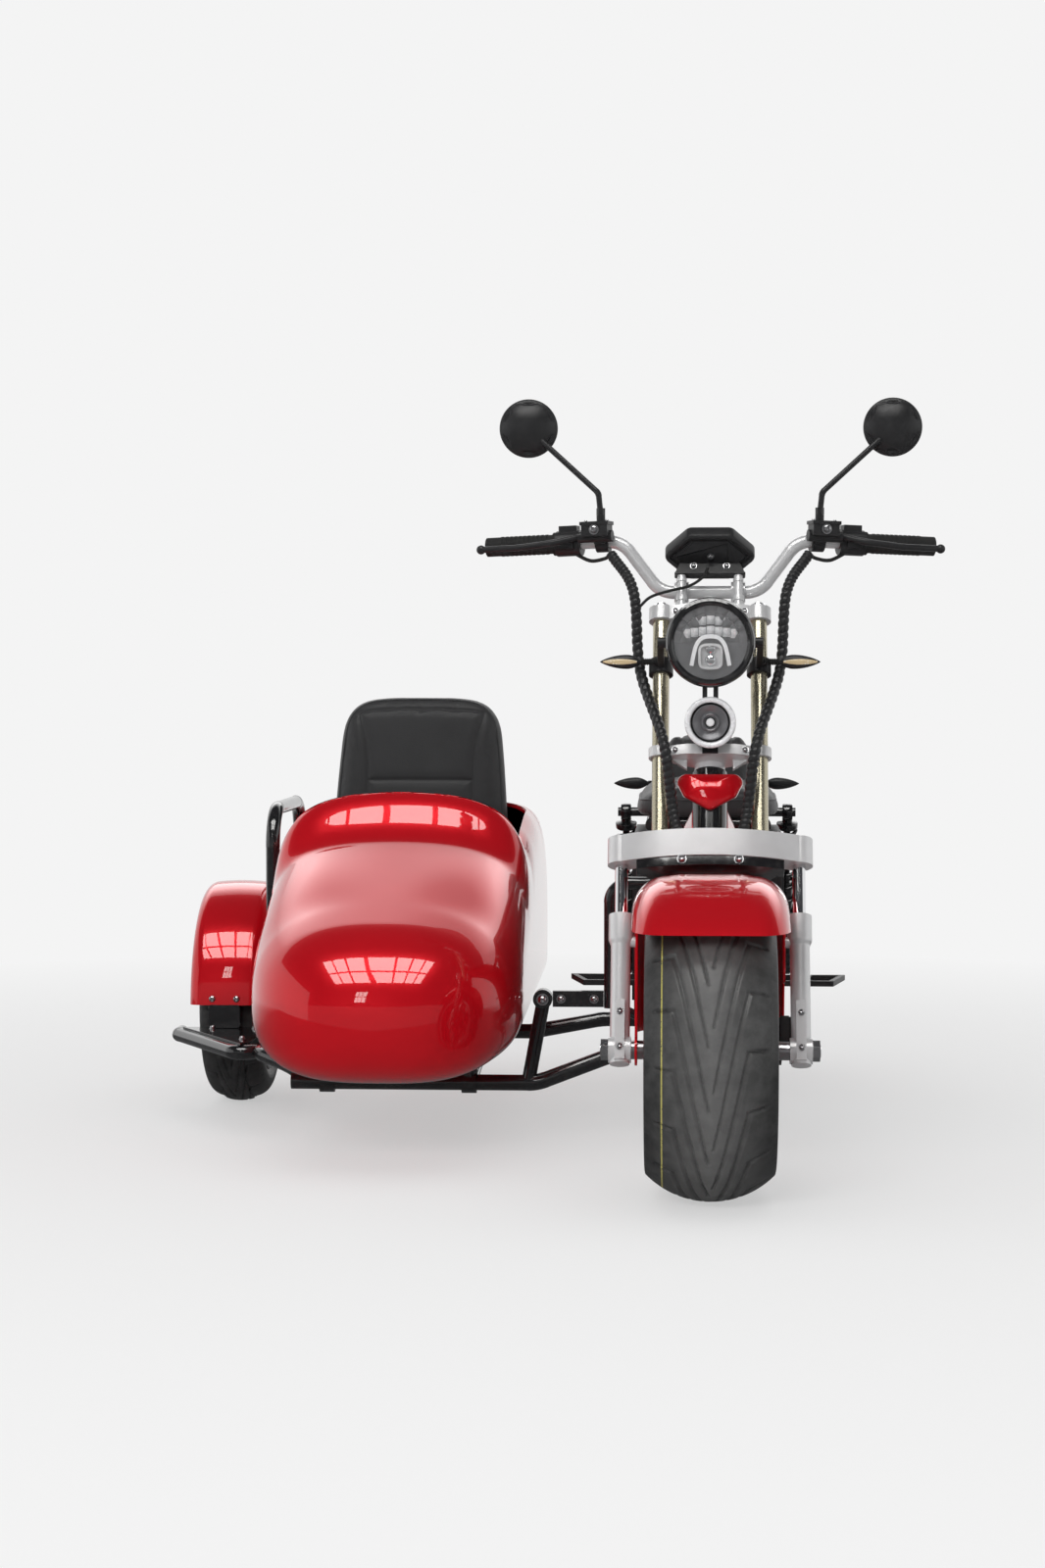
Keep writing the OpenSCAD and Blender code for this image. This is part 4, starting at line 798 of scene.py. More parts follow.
class SIDECAR_OT_tyres(bpy.types.Operator):
    """Moulds the three tyres with their grooves, shoulder sipes and sidewall rings"""

    bl_idname = "sidecar.tyres"
    bl_label = "Tyres"

    def tyre(self, name, node, body, centre, size, around, count, pitches):
        """One tyre, in so many steps around and from bead to bead."""
        d, w, bead = size
        sizes = bpy.context.scene.sidecar_tread
        section = tyre_profile(d, w, bead, count)
        across, radius, lateral = section[:, 2], section[:, 1], section[:, 0]
        slope = np.gradient(section[:, :2], axis=0)
        slope /= np.linalg.norm(slope, axis=1)[:, None]
        out = np.column_stack([-slope[:, 1], slope[:, 0]])
        turn = np.arange(around) * 2 * math.pi / around
        girth = math.pi * d
        along, over = np.meshgrid(turn * d / 2, across, indexing="ij")
        scale = w / FAT_TYRE[1]
        cut = swept_grooves(along / scale, over / scale, girth / scale, pitches, sizes.width * 1000)
        cut = cut * cut * (3 - 2 * cut) * sizes.depth * 1000 * min(1.0, scale * 1.1)
        limit = across.max()
        for place in (0.80, 0.86, 0.93):
            cut -= np.exp(-((np.abs(over) - place * limit) / 1.5) ** 2) * 0.7
        sipe = np.clip(1.5 - np.abs(np.mod(along, girth / pitches / 3) - 4) / 1.0, 0, 1)
        cut += sipe * ((np.abs(over) > 104 * scale) & (np.abs(over) < 118 * scale)) * 1.1
        x = lateral[None, :] - cut * out[None, :, 0]
        r = radius[None, :] - cut * out[None, :, 1]
        points = np.stack([centre[0] + x, centre[1] - r * np.cos(turn)[:, None],
                           centre[2] - r * np.sin(turn)[:, None]], axis=-1)
        columns = len(across)
        faces = [(i * columns + j, i * columns + j + 1, (i + 1) % around * columns + j + 1,
                  (i + 1) % around * columns + j)
                 for i in range(around) for j in range(columns - 1)]
        shape = Shape().add(points.reshape(-1, 3), faces)
        inner = [(lateral[0], bead / 2 + 1), (lateral[-1], bead / 2 + 1)]
        ring = np.stack([np.stack([np.full(around, centre[0] + a), centre[1] - b * np.cos(turn),
                                   centre[2] - b * np.sin(turn)], axis=-1) for a, b in inner], axis=1)
        start = len(shape.points)
        closing = []
        for i in range(around):
            k = (i + 1) % around
            closing += [(i * columns, k * columns, start + 2 * k, start + 2 * i),
                        (i * columns + columns - 1, start + 2 * i + 1, start + 2 * k + 1,
                         k * columns + columns - 1),
                        (start + 2 * i, start + 2 * k, start + 2 * k + 1, start + 2 * i + 1)]
        shape.points.extend(ring.reshape(-1, 3).tolist())
        shape.faces.extend(closing)
        shape.piece(name, 60, tyre_rubber, body, "tyre", node)

    def execute(self, context):
        pitches = context.scene.sidecar_tread.pitches
        self.tyre("front_tread", "front_tyre", "front_wheel", FRONT_HUB, FAT_TYRE, 540, 146, pitches)
        self.tyre("rear_tread", "rear_tyre", "rear_wheel", REAR_HUB, FAT_TYRE, 420, 120, pitches)
        self.tyre("sidecar_tread", "sidecar_tyre", "sidecar_wheel", SIDE_HUB, SIDE_TYRE, 420, 96, 17)
        return {"FINISHED"}


def fender_section(r, half, bend, skirt, wall, steps=14):
    """Outline of a fender's wall across its tyre: (radius, lateral), over the crown and back inside."""
    def over(r, half, bend, skirt):
        turn = np.radians(np.linspace(0, 90, steps))
        right = [(r - bend + bend * s, half - bend + bend * c) for s, c in zip(np.sin(turn), np.cos(turn))]
        side = [(r - skirt + (skirt - bend) * k / 3, half) for k in range(3)]
        crown = [(r, x) for x in np.linspace(half - bend, bend - half, 15)[1:-1]]
        return side + right + crown + [(a, -b) for a, b in reversed(side + right)]
    outer, inner = over(r, half, bend, skirt), over(r - wall, half - wall, bend - wall, skirt - wall)
    low = r - skirt - 1.4
    return np.array(outer + [(low, wall / 2 - half)] + inner[::-1] + [(low, half - wall / 2)]), len(outer)


def fender(centre, section, low, high, cut=None, rise=None):
    """A smooth fender over an axle along X, from an angle at its back over the top to one at its front."""
    section, outer = section
    radius = np.tile(section[:, 0], (96, 1))
    last = np.full(len(section), math.radians(high))
    if cut is not None:
        last = np.pi - np.arcsin(cut / section[:, 0])
    share = np.linspace(0, 1, 96)[:, None]
    angle = math.radians(low) + (last - math.radians(low))[None, :] * share
    if rise is not None:
        radius[:, :outer] += rise(np.degrees(angle), section[None, :, 1])[:, :outer]
    points = np.stack([np.broadcast_to(centre[0] + section[:, 1], radius.shape),
                       centre[1] + radius * np.cos(angle), centre[2] + radius * np.sin(angle)], axis=-1)
    return Shape().loft(points)


class SIDECAR_OT_fenders(bpy.types.Operator):
    """Presses the three fenders with round shoulders, rolled edges and their stays"""

    bl_idname = "sidecar.fenders"
    bl_label = "Fenders"

    def plate(self, shape, x, outline):
        """A flat stay in the fork's plane with eased edges."""
        middle, rings = np.mean(outline, axis=0), []
        for dx, ease_in in ((-2, 0.8), (-1.2, 0), (1.2, 0), (2, 0.8)):
            away = outline - middle
            o = outline - away / np.linalg.norm(away, axis=1)[:, None] * ease_in
            rings.append(fork(np.column_stack([np.full(len(o), x + dx), o])))
        shape.loft(rings)

    def execute(self, context):
        def raised(angle, lateral):
            along = np.clip((angle - 55) / 5, 0, 1) * np.clip((122 - angle) / 6, 0, 1)
            return 3.0 * along * np.clip((62 - np.abs(lateral)) / 6, 0, 1)

        front = fender(FRONT_HUB, fender_section(277.5, 124, 56, 62, 4), 0, 150, 200.0, raised)
        turn = np.radians(np.linspace(180, 360, 20))
        self.plate(front, 118, np.vstack([np.column_stack([20 * np.cos(turn), 133 + 20 * np.sin(turn)]),
                                          [[20, 225], [-20, 225]]]))
        self.plate(front, -118, np.array([[-20, 17.0], [20, 17.0], [20, 225], [-20, 225]]))
        front.hoop([(15.4, -2), (24.4, -2), (25, -1.4), (25, 1.4), (24.4, 2), (15.4, 2)],
                   fork((-118, 0, 0))[0], (1, 0, 0), 48)
        front.piece("front_fender_shell", 42, candy_red, "steering", "red_paint", "front_fender")
        rear = fender(REAR_HUB, fender_section(274.5, 115.5, 34, 62, 4), -8, 116)
        for side in (-1, 1):
            rear.turned([(9, 0), (9, 48.7), (0.01, 48.7)], (side * 94, 1300, 498), (0, 0, 1), 24)
        rear.piece("rear_fender_shell", 42, candy_red, "chassis", "red_paint", "rear_fender")
        side = fender(SIDE_HUB, fender_section(227, 69, 24, 40, 4), 8, 177, None,
                      lambda angle, lateral: 5.0 * np.clip(1 - (lateral / 66) ** 2, 0, 1))
        side.piece("sidecar_fender_shell", 42, candy_red, "chassis", "red_paint", "sidecar_fender")
        return {"FINISHED"}


def outline_of(points, steps=10):
    """A smooth closed outline through a ring of points, evenly stepped."""
    p = np.asarray(points, float)
    p = np.vstack([p[-2:], p, p[:3]])
    curve = smooth_path(p, steps)[2 * steps:-2 * steps]
    reach = np.concatenate([[0], np.cumsum(np.linalg.norm(np.diff(curve, axis=0), axis=1))])
    even = np.linspace(0, reach[-1], 161)[:-1]
    return np.column_stack([np.interp(even, reach, curve[:, k]) for k in range(2)])


def inset(outline, distance):
    """An outline drawn in by a distance along its normals."""
    way = np.roll(outline, -1, axis=0) - np.roll(outline, 1, axis=0)
    way /= np.linalg.norm(way, axis=1)[:, None]
    normal = np.column_stack([way[:, 1], -way[:, 0]])
    if np.sum(normal * (outline - outline.mean(axis=0))) > 0:
        normal = -normal
    return outline + normal * distance


class SIDECAR_OT_seats(bpy.types.Operator):
    """Stuffs the two saddles, the sidecar seat and its back as blown-up cloth, then sews their seams"""

    bl_idname = "sidecar.seats"
    bl_label = "Seats"

    def lens(self, outline, edge, face, back, crown):
        """Pad with a rounded edge all round: (a, b, height) over its outline, crowned on its face."""
        rings = []
        for t in np.radians(np.linspace(-90, 90, 19)):
            rings.append((inset(outline, edge * (1 - abs(math.cos(t)) ** 0.9)),
                          (face if t > 0 else back) * math.sin(t)))
        middle = outline.mean(axis=0)
        points = []
        for share in (0.15, 0.4, 0.65, 0.85):
            points.append(np.column_stack([middle + (rings[0][0] - middle) * share,
                                           np.full(len(outline), -back)]))
        points += [np.column_stack([flat, np.full(len(outline), high)]) for flat, high in rings]
        for share in (0.93, 0.85, 0.75, 0.65, 0.5, 0.35, 0.2, 0.08):
            high = face + crown * (1 - share ** 2)
            points.append(np.column_stack([middle + (rings[-1][0] - middle) * share,
                                           np.full(len(outline), high)]))
        return points

    def saddle(self, outline, low, top, shoulder):
        """Pad with a flat foot and a top whose height follows a function of (a, b)."""
        middle = outline.mean(axis=0)
        points = []

        def ring(flat, share):
            crown = np.array([top(*q) for q in flat])
            points.append(np.column_stack([flat, low + (crown - low) * share]))
        for share in (0.2, 0.6, 0.9):
            ring(middle + (inset(outline, 7) - middle) * share, 0.0)
        for distance, share in ((7, 0.0), (2, 0.03), (0, 0.12), (-1, 0.3), (0, 0.5)):
            ring(inset(outline, distance), share)
        for t in np.radians(np.linspace(10, 90, 9)):
            ring(inset(outline, shoulder * (1 - math.cos(t))), 0.5 + 0.5 * math.sin(t))
        inner = inset(outline, shoulder)
        for share in (0.9, 0.8, 0.65, 0.5, 0.35, 0.2, 0.08):
            ring(middle + (inner - middle) * share, 1.0)
        return points

    def stuffed(self, name, node, pad, place, seams, welts, cap, fill):
        """Makes the pad as a piece: blown up as cloth, sewn along its seams and edged with welts."""
        form = Shape().loft([place(ring) for ring in pad])
        piece = form.piece(name, None, seat_vinyl, "chassis", "vinyl", node)
        self.blow(piece, cap)
        self.sew(piece, [place(np.asarray(s, float)) for s in seams])
        self.edge(piece, [place(np.asarray(w, float)) for w in welts])

    def apply(self, piece, modifier):
        with bpy.context.temp_override(object=piece, active_object=piece, selected_objects=[piece]):
            bpy.ops.object.modifier_apply(modifier=modifier.name)

    def blow(self, piece, cap):
        """Remeshes a pad evenly, fills it as cloth under pressure, holds it to a cap and smooths it."""
        scene = bpy.context.scene
        even = piece.modifiers.new("even", "REMESH")
        even.mode, even.voxel_size, even.use_smooth_shade = "VOXEL", 0.006, True
        self.apply(piece, even)
        before = np.array([v.co for v in piece.data.vertices])
        cloth = piece.modifiers.new("fill", "CLOTH")
        cloth.settings.quality = 4
        cloth.settings.use_pressure = True
        cloth.settings.uniform_pressure_force = 4.0
        cloth.settings.effector_weights.gravity = 0.0
        cloth.point_cache.frame_start, cloth.point_cache.frame_end = 1, 20
        for step in range(1, 21):
            scene.frame_set(step)
        full = piece.evaluated_get(bpy.context.evaluated_depsgraph_get())
        move = np.array([v.co for v in full.data.vertices]) - before
        size = np.maximum(np.linalg.norm(move, axis=1), 1e-9)
        move *= np.minimum(1.0, cap / size)[:, None]
        piece.modifiers.remove(cloth)
        scene.frame_set(1)
        piece.data.vertices.foreach_set("co", (before + move).ravel())
        piece.data.update()
        finer = piece.modifiers.new("finer", "SUBSURF")
        finer.levels = finer.render_levels = 1
        self.apply(piece, finer)

    def sew(self, piece, seams):
        """Pulls the cover in along its seams."""
        mesh = piece.data
        count = len(mesh.vertices)
        at, normal = np.empty(count * 3), np.empty(count * 3)
        mesh.vertices.foreach_get("co", at)
        mesh.vertex_normals.foreach_get("vector", normal)
        at, normal = at.reshape(-1, 3), normal.reshape(-1, 3)
        near = np.full(count, 1.0)
        for seam in seams:
            path = row(smooth_path(seam, 12))
            for a, b in zip(path[:-1], path[1:]):
                way = b - a
                share = np.clip((at - a) @ way / max(1e-12, way @ way), 0, 1)
                gap = at - a - share[:, None] * way
                depth = np.abs(np.sum(gap * normal, axis=1))
                flat = np.sqrt(np.maximum(0, np.sum(gap * gap, axis=1) - depth ** 2))
                near = np.minimum(near, np.where(depth < 0.03, flat, 1.0))
        pull = 0.0032 * np.exp(-(near / 0.0026) ** 2) + 0.0024 * np.exp(-(near / 0.012) ** 2)
        mesh.vertices.foreach_set("co", (at - normal * pull[:, None]).ravel())
        mesh.update()
        mesh.shade_smooth()

    def edge(self, piece, welts):
        """Lays a round welt on the cover along each closed chain of points."""
        form = bmesh.new()
        form.from_mesh(piece.data)
        skin = BVHTree.FromBMesh(form)
        form.free()
        cord = Shape()
        for welt in welts:
            path = np.array([skin.find_nearest(Vector(p))[0] for p in row(np.vstack([welt, welt[:2]]))])
            path = path * 1000 - SHIFT
            for _ in range(4):
                path[1:-1] = (path[:-2] + path[1:-1] * 2 + path[2:]) / 4
            cord.tube(path, 2.3, 8, ends=False)
        cord.piece(piece.name + "_welt", 60, seat_vinyl, "chassis", "vinyl")

    def sidecar_back(self):
        foot, lean, h = 256.0, math.radians(12), 545.0
        half = [(0, 152), (60, 166), (190, 180), (330, 173), (430, 165), (490, 156), (h - 22, 137),
                (h - 6, 108), (h, 60)]
        ring = [(w, u + 3) for u, w in half] + [(0, h + 4)] + [(-w, u + 3) for u, w in reversed(half)]
        ring += [(-120, -2), (-60, -3), (0, -3), (60, -3), (120, -2)]
        outline = outline_of(ring)

        def place(p):
            x, u, v = np.asarray(p, float).T
            return np.column_stack([TUB_X + x, 985 + u * math.sin(lean) - v * math.cos(lean),
                                    foot + u * math.cos(lean) + v * math.sin(lean)])
        side = [(126, h - 34), (120, h - 56), (110, h - 84), (104, h - 118), (102, h - 172),
                (102, h - 300), (103, 60)]
        seams = [[(s * x, u, 36) for x, u in side] for s in (1, -1)]
        seams.append([(x, h - 172, 38) for x in (-102, -50, 0, 50, 102)])
        seams.append([(x, h - 34 + 5 * (1 - (x / 126) ** 2), 37) for x in (-126, -63, 0, 63, 126)])
        welt = [(*q, 27) for q in inset(outline, 8)]
        self.stuffed("sidecar_back_pad", "seat_back", self.lens(outline, 30, 33, 33, 5), place, seams,
                     [welt], 0.006, 0.75)

    def sidecar_cushion(self):
        ring = [(178, 780), (183, 840), (178, 900), (150, 930), (60, 932), (-60, 932),
                (-150, 930), (-178, 900), (-183, 840), (-178, 780), (-150, 742), (-60, 739),
                (60, 739), (150, 742)]
        outline = outline_of(ring)

        def top(x, y):
            return 352 + 6 * (1 - (x / 184) ** 2) - 5 * ease((790 - y) / 60)

        def place(p):
            return np.asarray(p, float) + np.array([TUB_X, 0, 0])
        seams = [[(s * 104, y, 354) for y in (752, 800, 860, 920)] for s in (1, -1)]
        seams.append([(x, 800, 356) for x in (-104, -50, 0, 50, 104)])
        welt = [(*q, 338) for q in inset(outline, 6)]
        self.stuffed("sidecar_cushion_pad", "seat_cushion", self.saddle(outline, 251, top, 26), place,
                     seams, [welt], 0.006, 0.7)

    def rider(self):
        ring = [(92, 686), (120, 716), (133, 780), (136, 880), (134, 980), (124, 1032),
                (92, 1049), (0, 1051), (-92, 1049), (-124, 1032), (-134, 980), (-136, 880), (-133, 780),
                (-120, 716), (-92, 686), (0, 682)]
        outline = outline_of(ring)

        def top(x, y):
            dish = ((y - 840) / 190) ** 2 if y > 840 else 0.6 * ((y - 840) / 160) ** 2
            return 622 + 14 * min(1.1, dish) - 12 * (x / 136) ** 2

        seams = [[(s * 70, y, 630) for y in (700, 780, 880, 980, 1036)] for s in (1, -1)]
        seams += [[(x, y, 628) for x in (-70, -35, 0, 35, 70)] for y in (760, 860, 960)]
        welt = [(*q, 606) for q in inset(outline, 5)]
        self.stuffed("rider_pad", "rider_seat", self.saddle(outline, 576, top, 30), np.asarray, seams,
                     [welt], 0.005, 0.7)

    def passenger(self):
        ring = [(60, 1063), (78, 1078), (84, 1130), (84, 1220), (82, 1290), (66, 1314),
                (0, 1318), (-66, 1314), (-82, 1290), (-84, 1220), (-84, 1130), (-78, 1078),
                (-60, 1063), (0, 1061)]
        outline = outline_of(ring)

        def top(x, y):
            rise = np.interp(y, [1060, 1085, 1115, 1150, 1210, 1260, 1300, 1320],
                             [640, 690, 716, 714, 697, 678, 640, 612])
            return float(rise) - 8 * (x / 84) ** 2

        seams = [[(s * 50, y, z)
                  for y, z in ((1090, 690), (1120, 714), (1180, 704), (1250, 680), (1300, 638))]
                 for s in (1, -1)]
        seams += [[(x, y, z) for x in (-50, -25, 0, 25, 50)] for y, z in ((1130, 716), (1200, 700))]
        welt = [(*q, 612) for q in inset(outline, 2)]
        self.stuffed("passenger_pad", "passenger_seat", self.saddle(outline, 576, top, 22), np.asarray,
                     seams, [welt], 0.005, 0.75)

    def execute(self, context):
        self.sidecar_back()
        self.sidecar_cushion()
        self.rider()
        self.passenger()
        return {"FINISHED"}


def white_plastic():
    def vary(place):
        wash = place.noise(120, 3.0)
        return {"Base Color": wash.tint((0.72, 0.73, 0.74), (0.86, 0.86, 0.87)),
                "Roughness": wash * 0.12 + 0.16}
    return surface("milky_plastic", {"Coat Weight": 0.5, "Coat Roughness": 0.04}, vary)


def bright_reflector():
    def vary(place):
        wash = place.noise(90, 3.0)
        return {"Base Color": wash.tint((0.78, 0.79, 0.81), (0.96, 0.96, 0.97)),
                "Roughness": wash * 0.15 + 0.2}
    return surface("bright_reflector", {"Metallic": 0.12, "Coat Weight": 0.6, "Coat Roughness": 0.03}, vary)


# Grey paint of the horn's cone, also laid on the headlight's chrome bowl as a painted dark reflection.
def grey_paint_and_dark_reflection():
    def vary(place):
        grain = place.noise(900, 3.0)
        return {"Base Color": grain.tint((0.16, 0.16, 0.17), (0.26, 0.26, 0.27)),
                "Roughness": grain * 0.2 + 0.3,
                "Normal": grain.bump(0.15, 0.0002)}
    return surface("grey_paint_and_painted_dark_reflection", {"Metallic": 0.5}, vary)


class SIDECAR_OT_lamps(bpy.types.Operator):
    """Fits the headlight's bezel, reflector and projector, the horn's rings and the indicators"""

    bl_idname = "sidecar.lamps"
    bl_label = "Lamps"

    LIGHT = np.array([0.0, 150.0, 888.0])
    HORN = np.array([0.0, 168.0, 757.0])

    def headlight(self):
        at = self.LIGHT
        shell = Shape()
        outside = [(71.5, 2), (72.5, 5), (72.5, 21), (71.5, 23), (68.4, 24)]
        dome = [(68.4 * math.cos(t) ** 0.62, 26 + 66 * math.sin(t))
                for t in np.radians(np.linspace(0, 88, 26))]
        shell.turned([(0.02, 56), (61, 55), (61, 6)] + outside + dome, at, (0, 1, 0), 96)
        shell.hoop([(60.2, 1.5), (61, -1.5), (64, -4.2), (67.5, -4.6), (70.6, -2.6), (72.4, 1), (72.5, 5),
                    (66, 8), (60.6, 7)],
                   at, (0, 1, 0), 128)
        shell.hoop([(73.2, 20), (74, 17), (74, 13), (73.2, 10), (72.2, 10), (72.2, 20)], at, (0, 1, 0), 96)
        shell.piece("headlight_body", 30, gloss_black, "steering", "black_paint", "headlight_shell")
        lens = Shape()
        rim = [(60.4 * k, 3.0 - 7.0 * (1 - k * k)) for k in np.linspace(0.0005, 1, 22)]
        lens.turned(rim + [(r, h + 2.4) for r, h in reversed(rim)], at, (0, 1, 0), 96)
        lens.piece("headlight_glass", 50, clear_lens, "steering", "lens", "headlight_lens")
        self.reflector(at)

    def reflector(self, at):
        """Fluted bowl with an arch of light round a projector."""
        turn = np.linspace(0, 2 * math.pi, 181)[:-1]
        rings = []
        for share in np.linspace(0.02, 1, 40):
            r = 60.0 * share
            deep = 12 + 40 * (1 - share ** 2)
            up = np.clip(np.sin(turn) * 1.6 + 0.2, 0, 1)
            flute = np.abs(np.sin(turn * 9)) ** 0.7 * 7 * up * np.clip((share - 0.3) / 0.2, 0, 1)
            tier = 6 * up * (1 if 0.55 < share < 0.8 else 0)
            rings.append(np.column_stack([at[0] + r * np.cos(turn), at[1] + deep - flute - tier,
                                          at[2] + r * np.sin(turn)]))
        bowl = Shape().add(np.vstack(rings), sheet_faces(40, 180, around=True) + [tuple(range(180))])
        # Painted reflection: the chrome bowl gets dark grey paint in place of chrome, for the dark
        # reflections it shows.
        bowl.piece("headlight_reflector", 24, grey_paint_and_dark_reflection, "steering", "chrome")
        fans = Shape()
        for level, count, low, high, front in ((0, 7, 12, 27, 10), (1, 5, 30, 44, 14)):
            wide = (46 - 12 * level) * 2 / count
            for i in range(count):
                x = (i - (count - 1) / 2) * wide
                blade = []
                for t in np.linspace(-1, 1, 7):
                    for z, y in ((low, front + 14), ((low + high) / 2, front + 6), (high, front + 2)):
                        blade.append((at[0] + x + t * wide * 0.47, at[1] + y + 5 * t * t + abs(x) * 0.08,
                                      at[2] + z - abs(x) * 0.12))
                fans.add(blade, sheet_faces(7, 3))
        fans.piece("headlight_fans", 30, bright_reflector, "steering", "chrome")
        arch = Shape()
        path = smooth_path([(-31, 0, -38), (-28, 0, -22), (-23, 0, -4), (-14, 0, 7), (0, 0, 10),
                            (14, 0, 7), (23, 0, -4), (28, 0, -22), (31, 0, -38)],
                           8) + at + np.array([0, 13, 0])
        arch.tube(path, lambda s, a: 3.6 / np.maximum(np.abs(np.cos(a)), np.abs(np.sin(a))) ** 0.6, 16)
        arch.piece("headlight_arch", 50, white_plastic, "steering", "lens")
        tray = Shape()
        outline = outline_of([(20, -6), (19, 8), (10, 14), (-10, 14), (-19, 8), (-20, -6), (-19, -22),
                              (-10, -28), (10, -28), (19, -22)])
        for gap, y in ((0, 34), (0, 10), (1.5, 8), (4, 8), (5, 10), (5, 20)):
            ring = inset(outline, gap)
            tray.add(np.column_stack([at[0] + ring[:, 0], np.full(len(ring), at[1] + y),
                                      at[2] - 16 + ring[:, 1]]), [])
        n = len(outline)
        tray.faces += sheet_faces(6, n, around=True) + [tuple(5 * n + k for k in range(n))]
        tray.piece("headlight_tray", 30, fork_silver, "steering", "cast_alloy")
        eye = Shape()
        for z in (-10, -29):
            eye.turned([(0.02, 9.5), (4, 9.8), (7.4, 11.2), (9.2, 13.6), (9.6, 17), (9.6, 24), (0.02, 24)],
                       at + np.array([0, 0, z]), (0, 1, 0), 40)
        eye.piece("headlight_eyes", 40, mirror_glass, "steering", "lens")

    def horn(self):
        at = self.HORN
        ring = Shape()
        ring.hoop([(32.5, 5), (33.2, -1), (35, -3.4), (38, -4.2), (41, -3), (42.2, 0), (42.2, 9),
                   (32.5, 9)], at, (0, 1, 0), 96)
        ring.piece("horn_ring", 50, bright_reflector, "steering", "chrome")
        cone = Shape()
        cone.turned([(28.6, 12), (29.2, 3), (27.6, 1.6), (25.6, 2.4), (22, 6), (17, 8), (15.6, 7),
                     (14.4, 4), (13, 3.4), (11.6, 4.2), (10.4, 9), (0.02, 9)], at, (0, 1, 0), 72)
        cone.piece("horn_cone", 30, grey_paint_and_dark_reflection, "steering", "cast_alloy")
        cap = Shape().turned([(7, 9.5), (7, 4), (5.8, 2.2), (3.4, 1.6), (0.02, 1.5)], at, (0, 1, 0), 40)
        cap.piece("horn_cap", 40, white_plastic, "steering", "lens")

    def leaf(self, shape, strip, root, way, length, ahead):
        """An indicator's pointed body along a way, with a lit strip let into its front."""
        root, way, ahead = (np.asarray(v, float) for v in (root, way, ahead))
        up = np.cross(way, ahead)
        share = np.linspace(0, 1, 40)
        girth = np.where(share < 0.38, np.sin(np.minimum(share, 0.38) / 0.38 * math.pi / 2) ** 0.8,
                         np.maximum(0, np.cos((share - 0.38) / 0.62 * math.pi / 2)) ** 0.75)
        girth = np.maximum(girth, np.where(share < 0.5, 0.34, 0.02))
        turn = np.linspace(0, 2 * math.pi, 25)[:-1]
        rings = [root + way * length * s + np.outer(np.cos(turn), ahead) * 9.4 * g
                 + np.outer(np.sin(turn), up) * 12 * g
                 for s, g in zip(share, girth)]
        shape.loft(rings)
        patch = []
        for s in np.linspace(0.14, 0.93, 24):
            g = np.interp(s, share, girth)
            tall = 4.6 * math.sin((s - 0.1) / 0.86 * math.pi) ** 0.6
            for t in np.linspace(-1, 1, 7):
                angle = math.asin(max(-1, min(1, t * tall / (12 * g + 1e-6))))
                patch.append(root + way * length * s
                             + ahead * (9.4 * g * math.cos(angle) + 0.7 * (1 - t ** 4))
                             + up * 12 * g * math.sin(angle))
        strip.add(patch, sheet_faces(24, 7))

    def indicators(self):
        for name, node, body in (("front_leaf", "front_indicators", "steering"),
                                 ("rear_leaf", "rear_indicators", "chassis")):
            shape, strip, stalk = Shape(), Shape(), Shape()
            for side in (-1, 1):
                way = np.array([side, 0.0, 0.0])
                if body == "steering":
                    root, ahead = fork((side * 112, -8, 673))[0], np.array([0, -1.0, 0])
                    foot = fork((side * 87.5, -8, 673))[0]
                else:
                    foot = np.array([side * 100, 1270.0, 614.0])
                    root, ahead = foot + way * 14, np.array([0, 1.0, 0])
                    stalk.turned([(6, 0.2), (6, 44), (4, 47), (0.02, 47.5)], foot - np.array([0, 0, 40]),
                                 (0, 0, 1), 24)
                self.leaf(shape, strip, root, way, 72, ahead)
                path = np.linspace(foot, root + way * 3, 60)
                stalk.tube(path, lambda s,
                           a: np.full(len(a), 5.3 + 0.8 * math.cos(2 * math.pi * s * 8)), 20)
            shape.piece(name, 50, satin_black, body, "black_plastic", node)
            strip.piece(name + "_strip", 60, led_strip, body, "amber")
            stalk.piece(name + "_stalk", 60, soft_rubber, body, "rubber")

    def execute(self, context):
        self.headlight()
        self.horn()
        self.indicators()
        return {"FINISHED"}


def hit(node, start, way):
    """Point of a CAD part that a ray meets first, in the bike's axes."""
    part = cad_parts[node]
    form = bmesh.new()
    form.from_mesh(part.data)
    skin = BVHTree.FromBMesh(form)
    form.free()
    back = part.matrix_world.inverted()
    a, b = (back @ Vector(p) for p in row([start, np.asarray(start, float) + way]))
    place = skin.ray_cast(a, (b - a).normalized())[0]
    if place is None:
        raise RuntimeError("no surface of " + node + " from " + str(np.round(start)))
    return np.array(part.matrix_world @ place) * 1000 - SHIFT


def rounded(points, r, steps=8):
    """Outline round circles of one radius at the corners of a convex polygon, counter-clockwise."""
    p = np.asarray(points, float)
    out = []
    for i, corner in enumerate(p):
        into, away = corner - p[i - 1], p[(i + 1) % len(p)] - corner
        first, last = (math.atan2(d[1], d[0]) - math.pi / 2 for d in (into, away))
        for t in np.linspace(first, last + 2 * math.pi * (last < first), steps):
            out.append(corner + r * np.array([math.cos(t), math.sin(t)]))
    return np.array(out)


def stack(shape, outline, rings, place):
    """Adds a form through one outline drawn in by a gap at each height, set by place(a, b, height)."""
    n = len(outline)
    return shape.loft([place(np.column_stack([inset(outline, gap), np.full(n, high)]))
                       for gap, high in rings])


def on_bar(down, back, along, side=1):
    """Point beside the handlebar's end by its distances from the bend."""
    start, end = np.array([150.0, 378.3, 1063.2]), np.array([380.0, 436.3, 1055.2])
    e = (end - start) / np.linalg.norm(end - start)
    b = np.cross((0, 0, 1.0), e)
    b /= np.linalg.norm(b)
    return (start + along * e + back * b - down * np.cross(e, b)) * np.array([side, 1, 1])


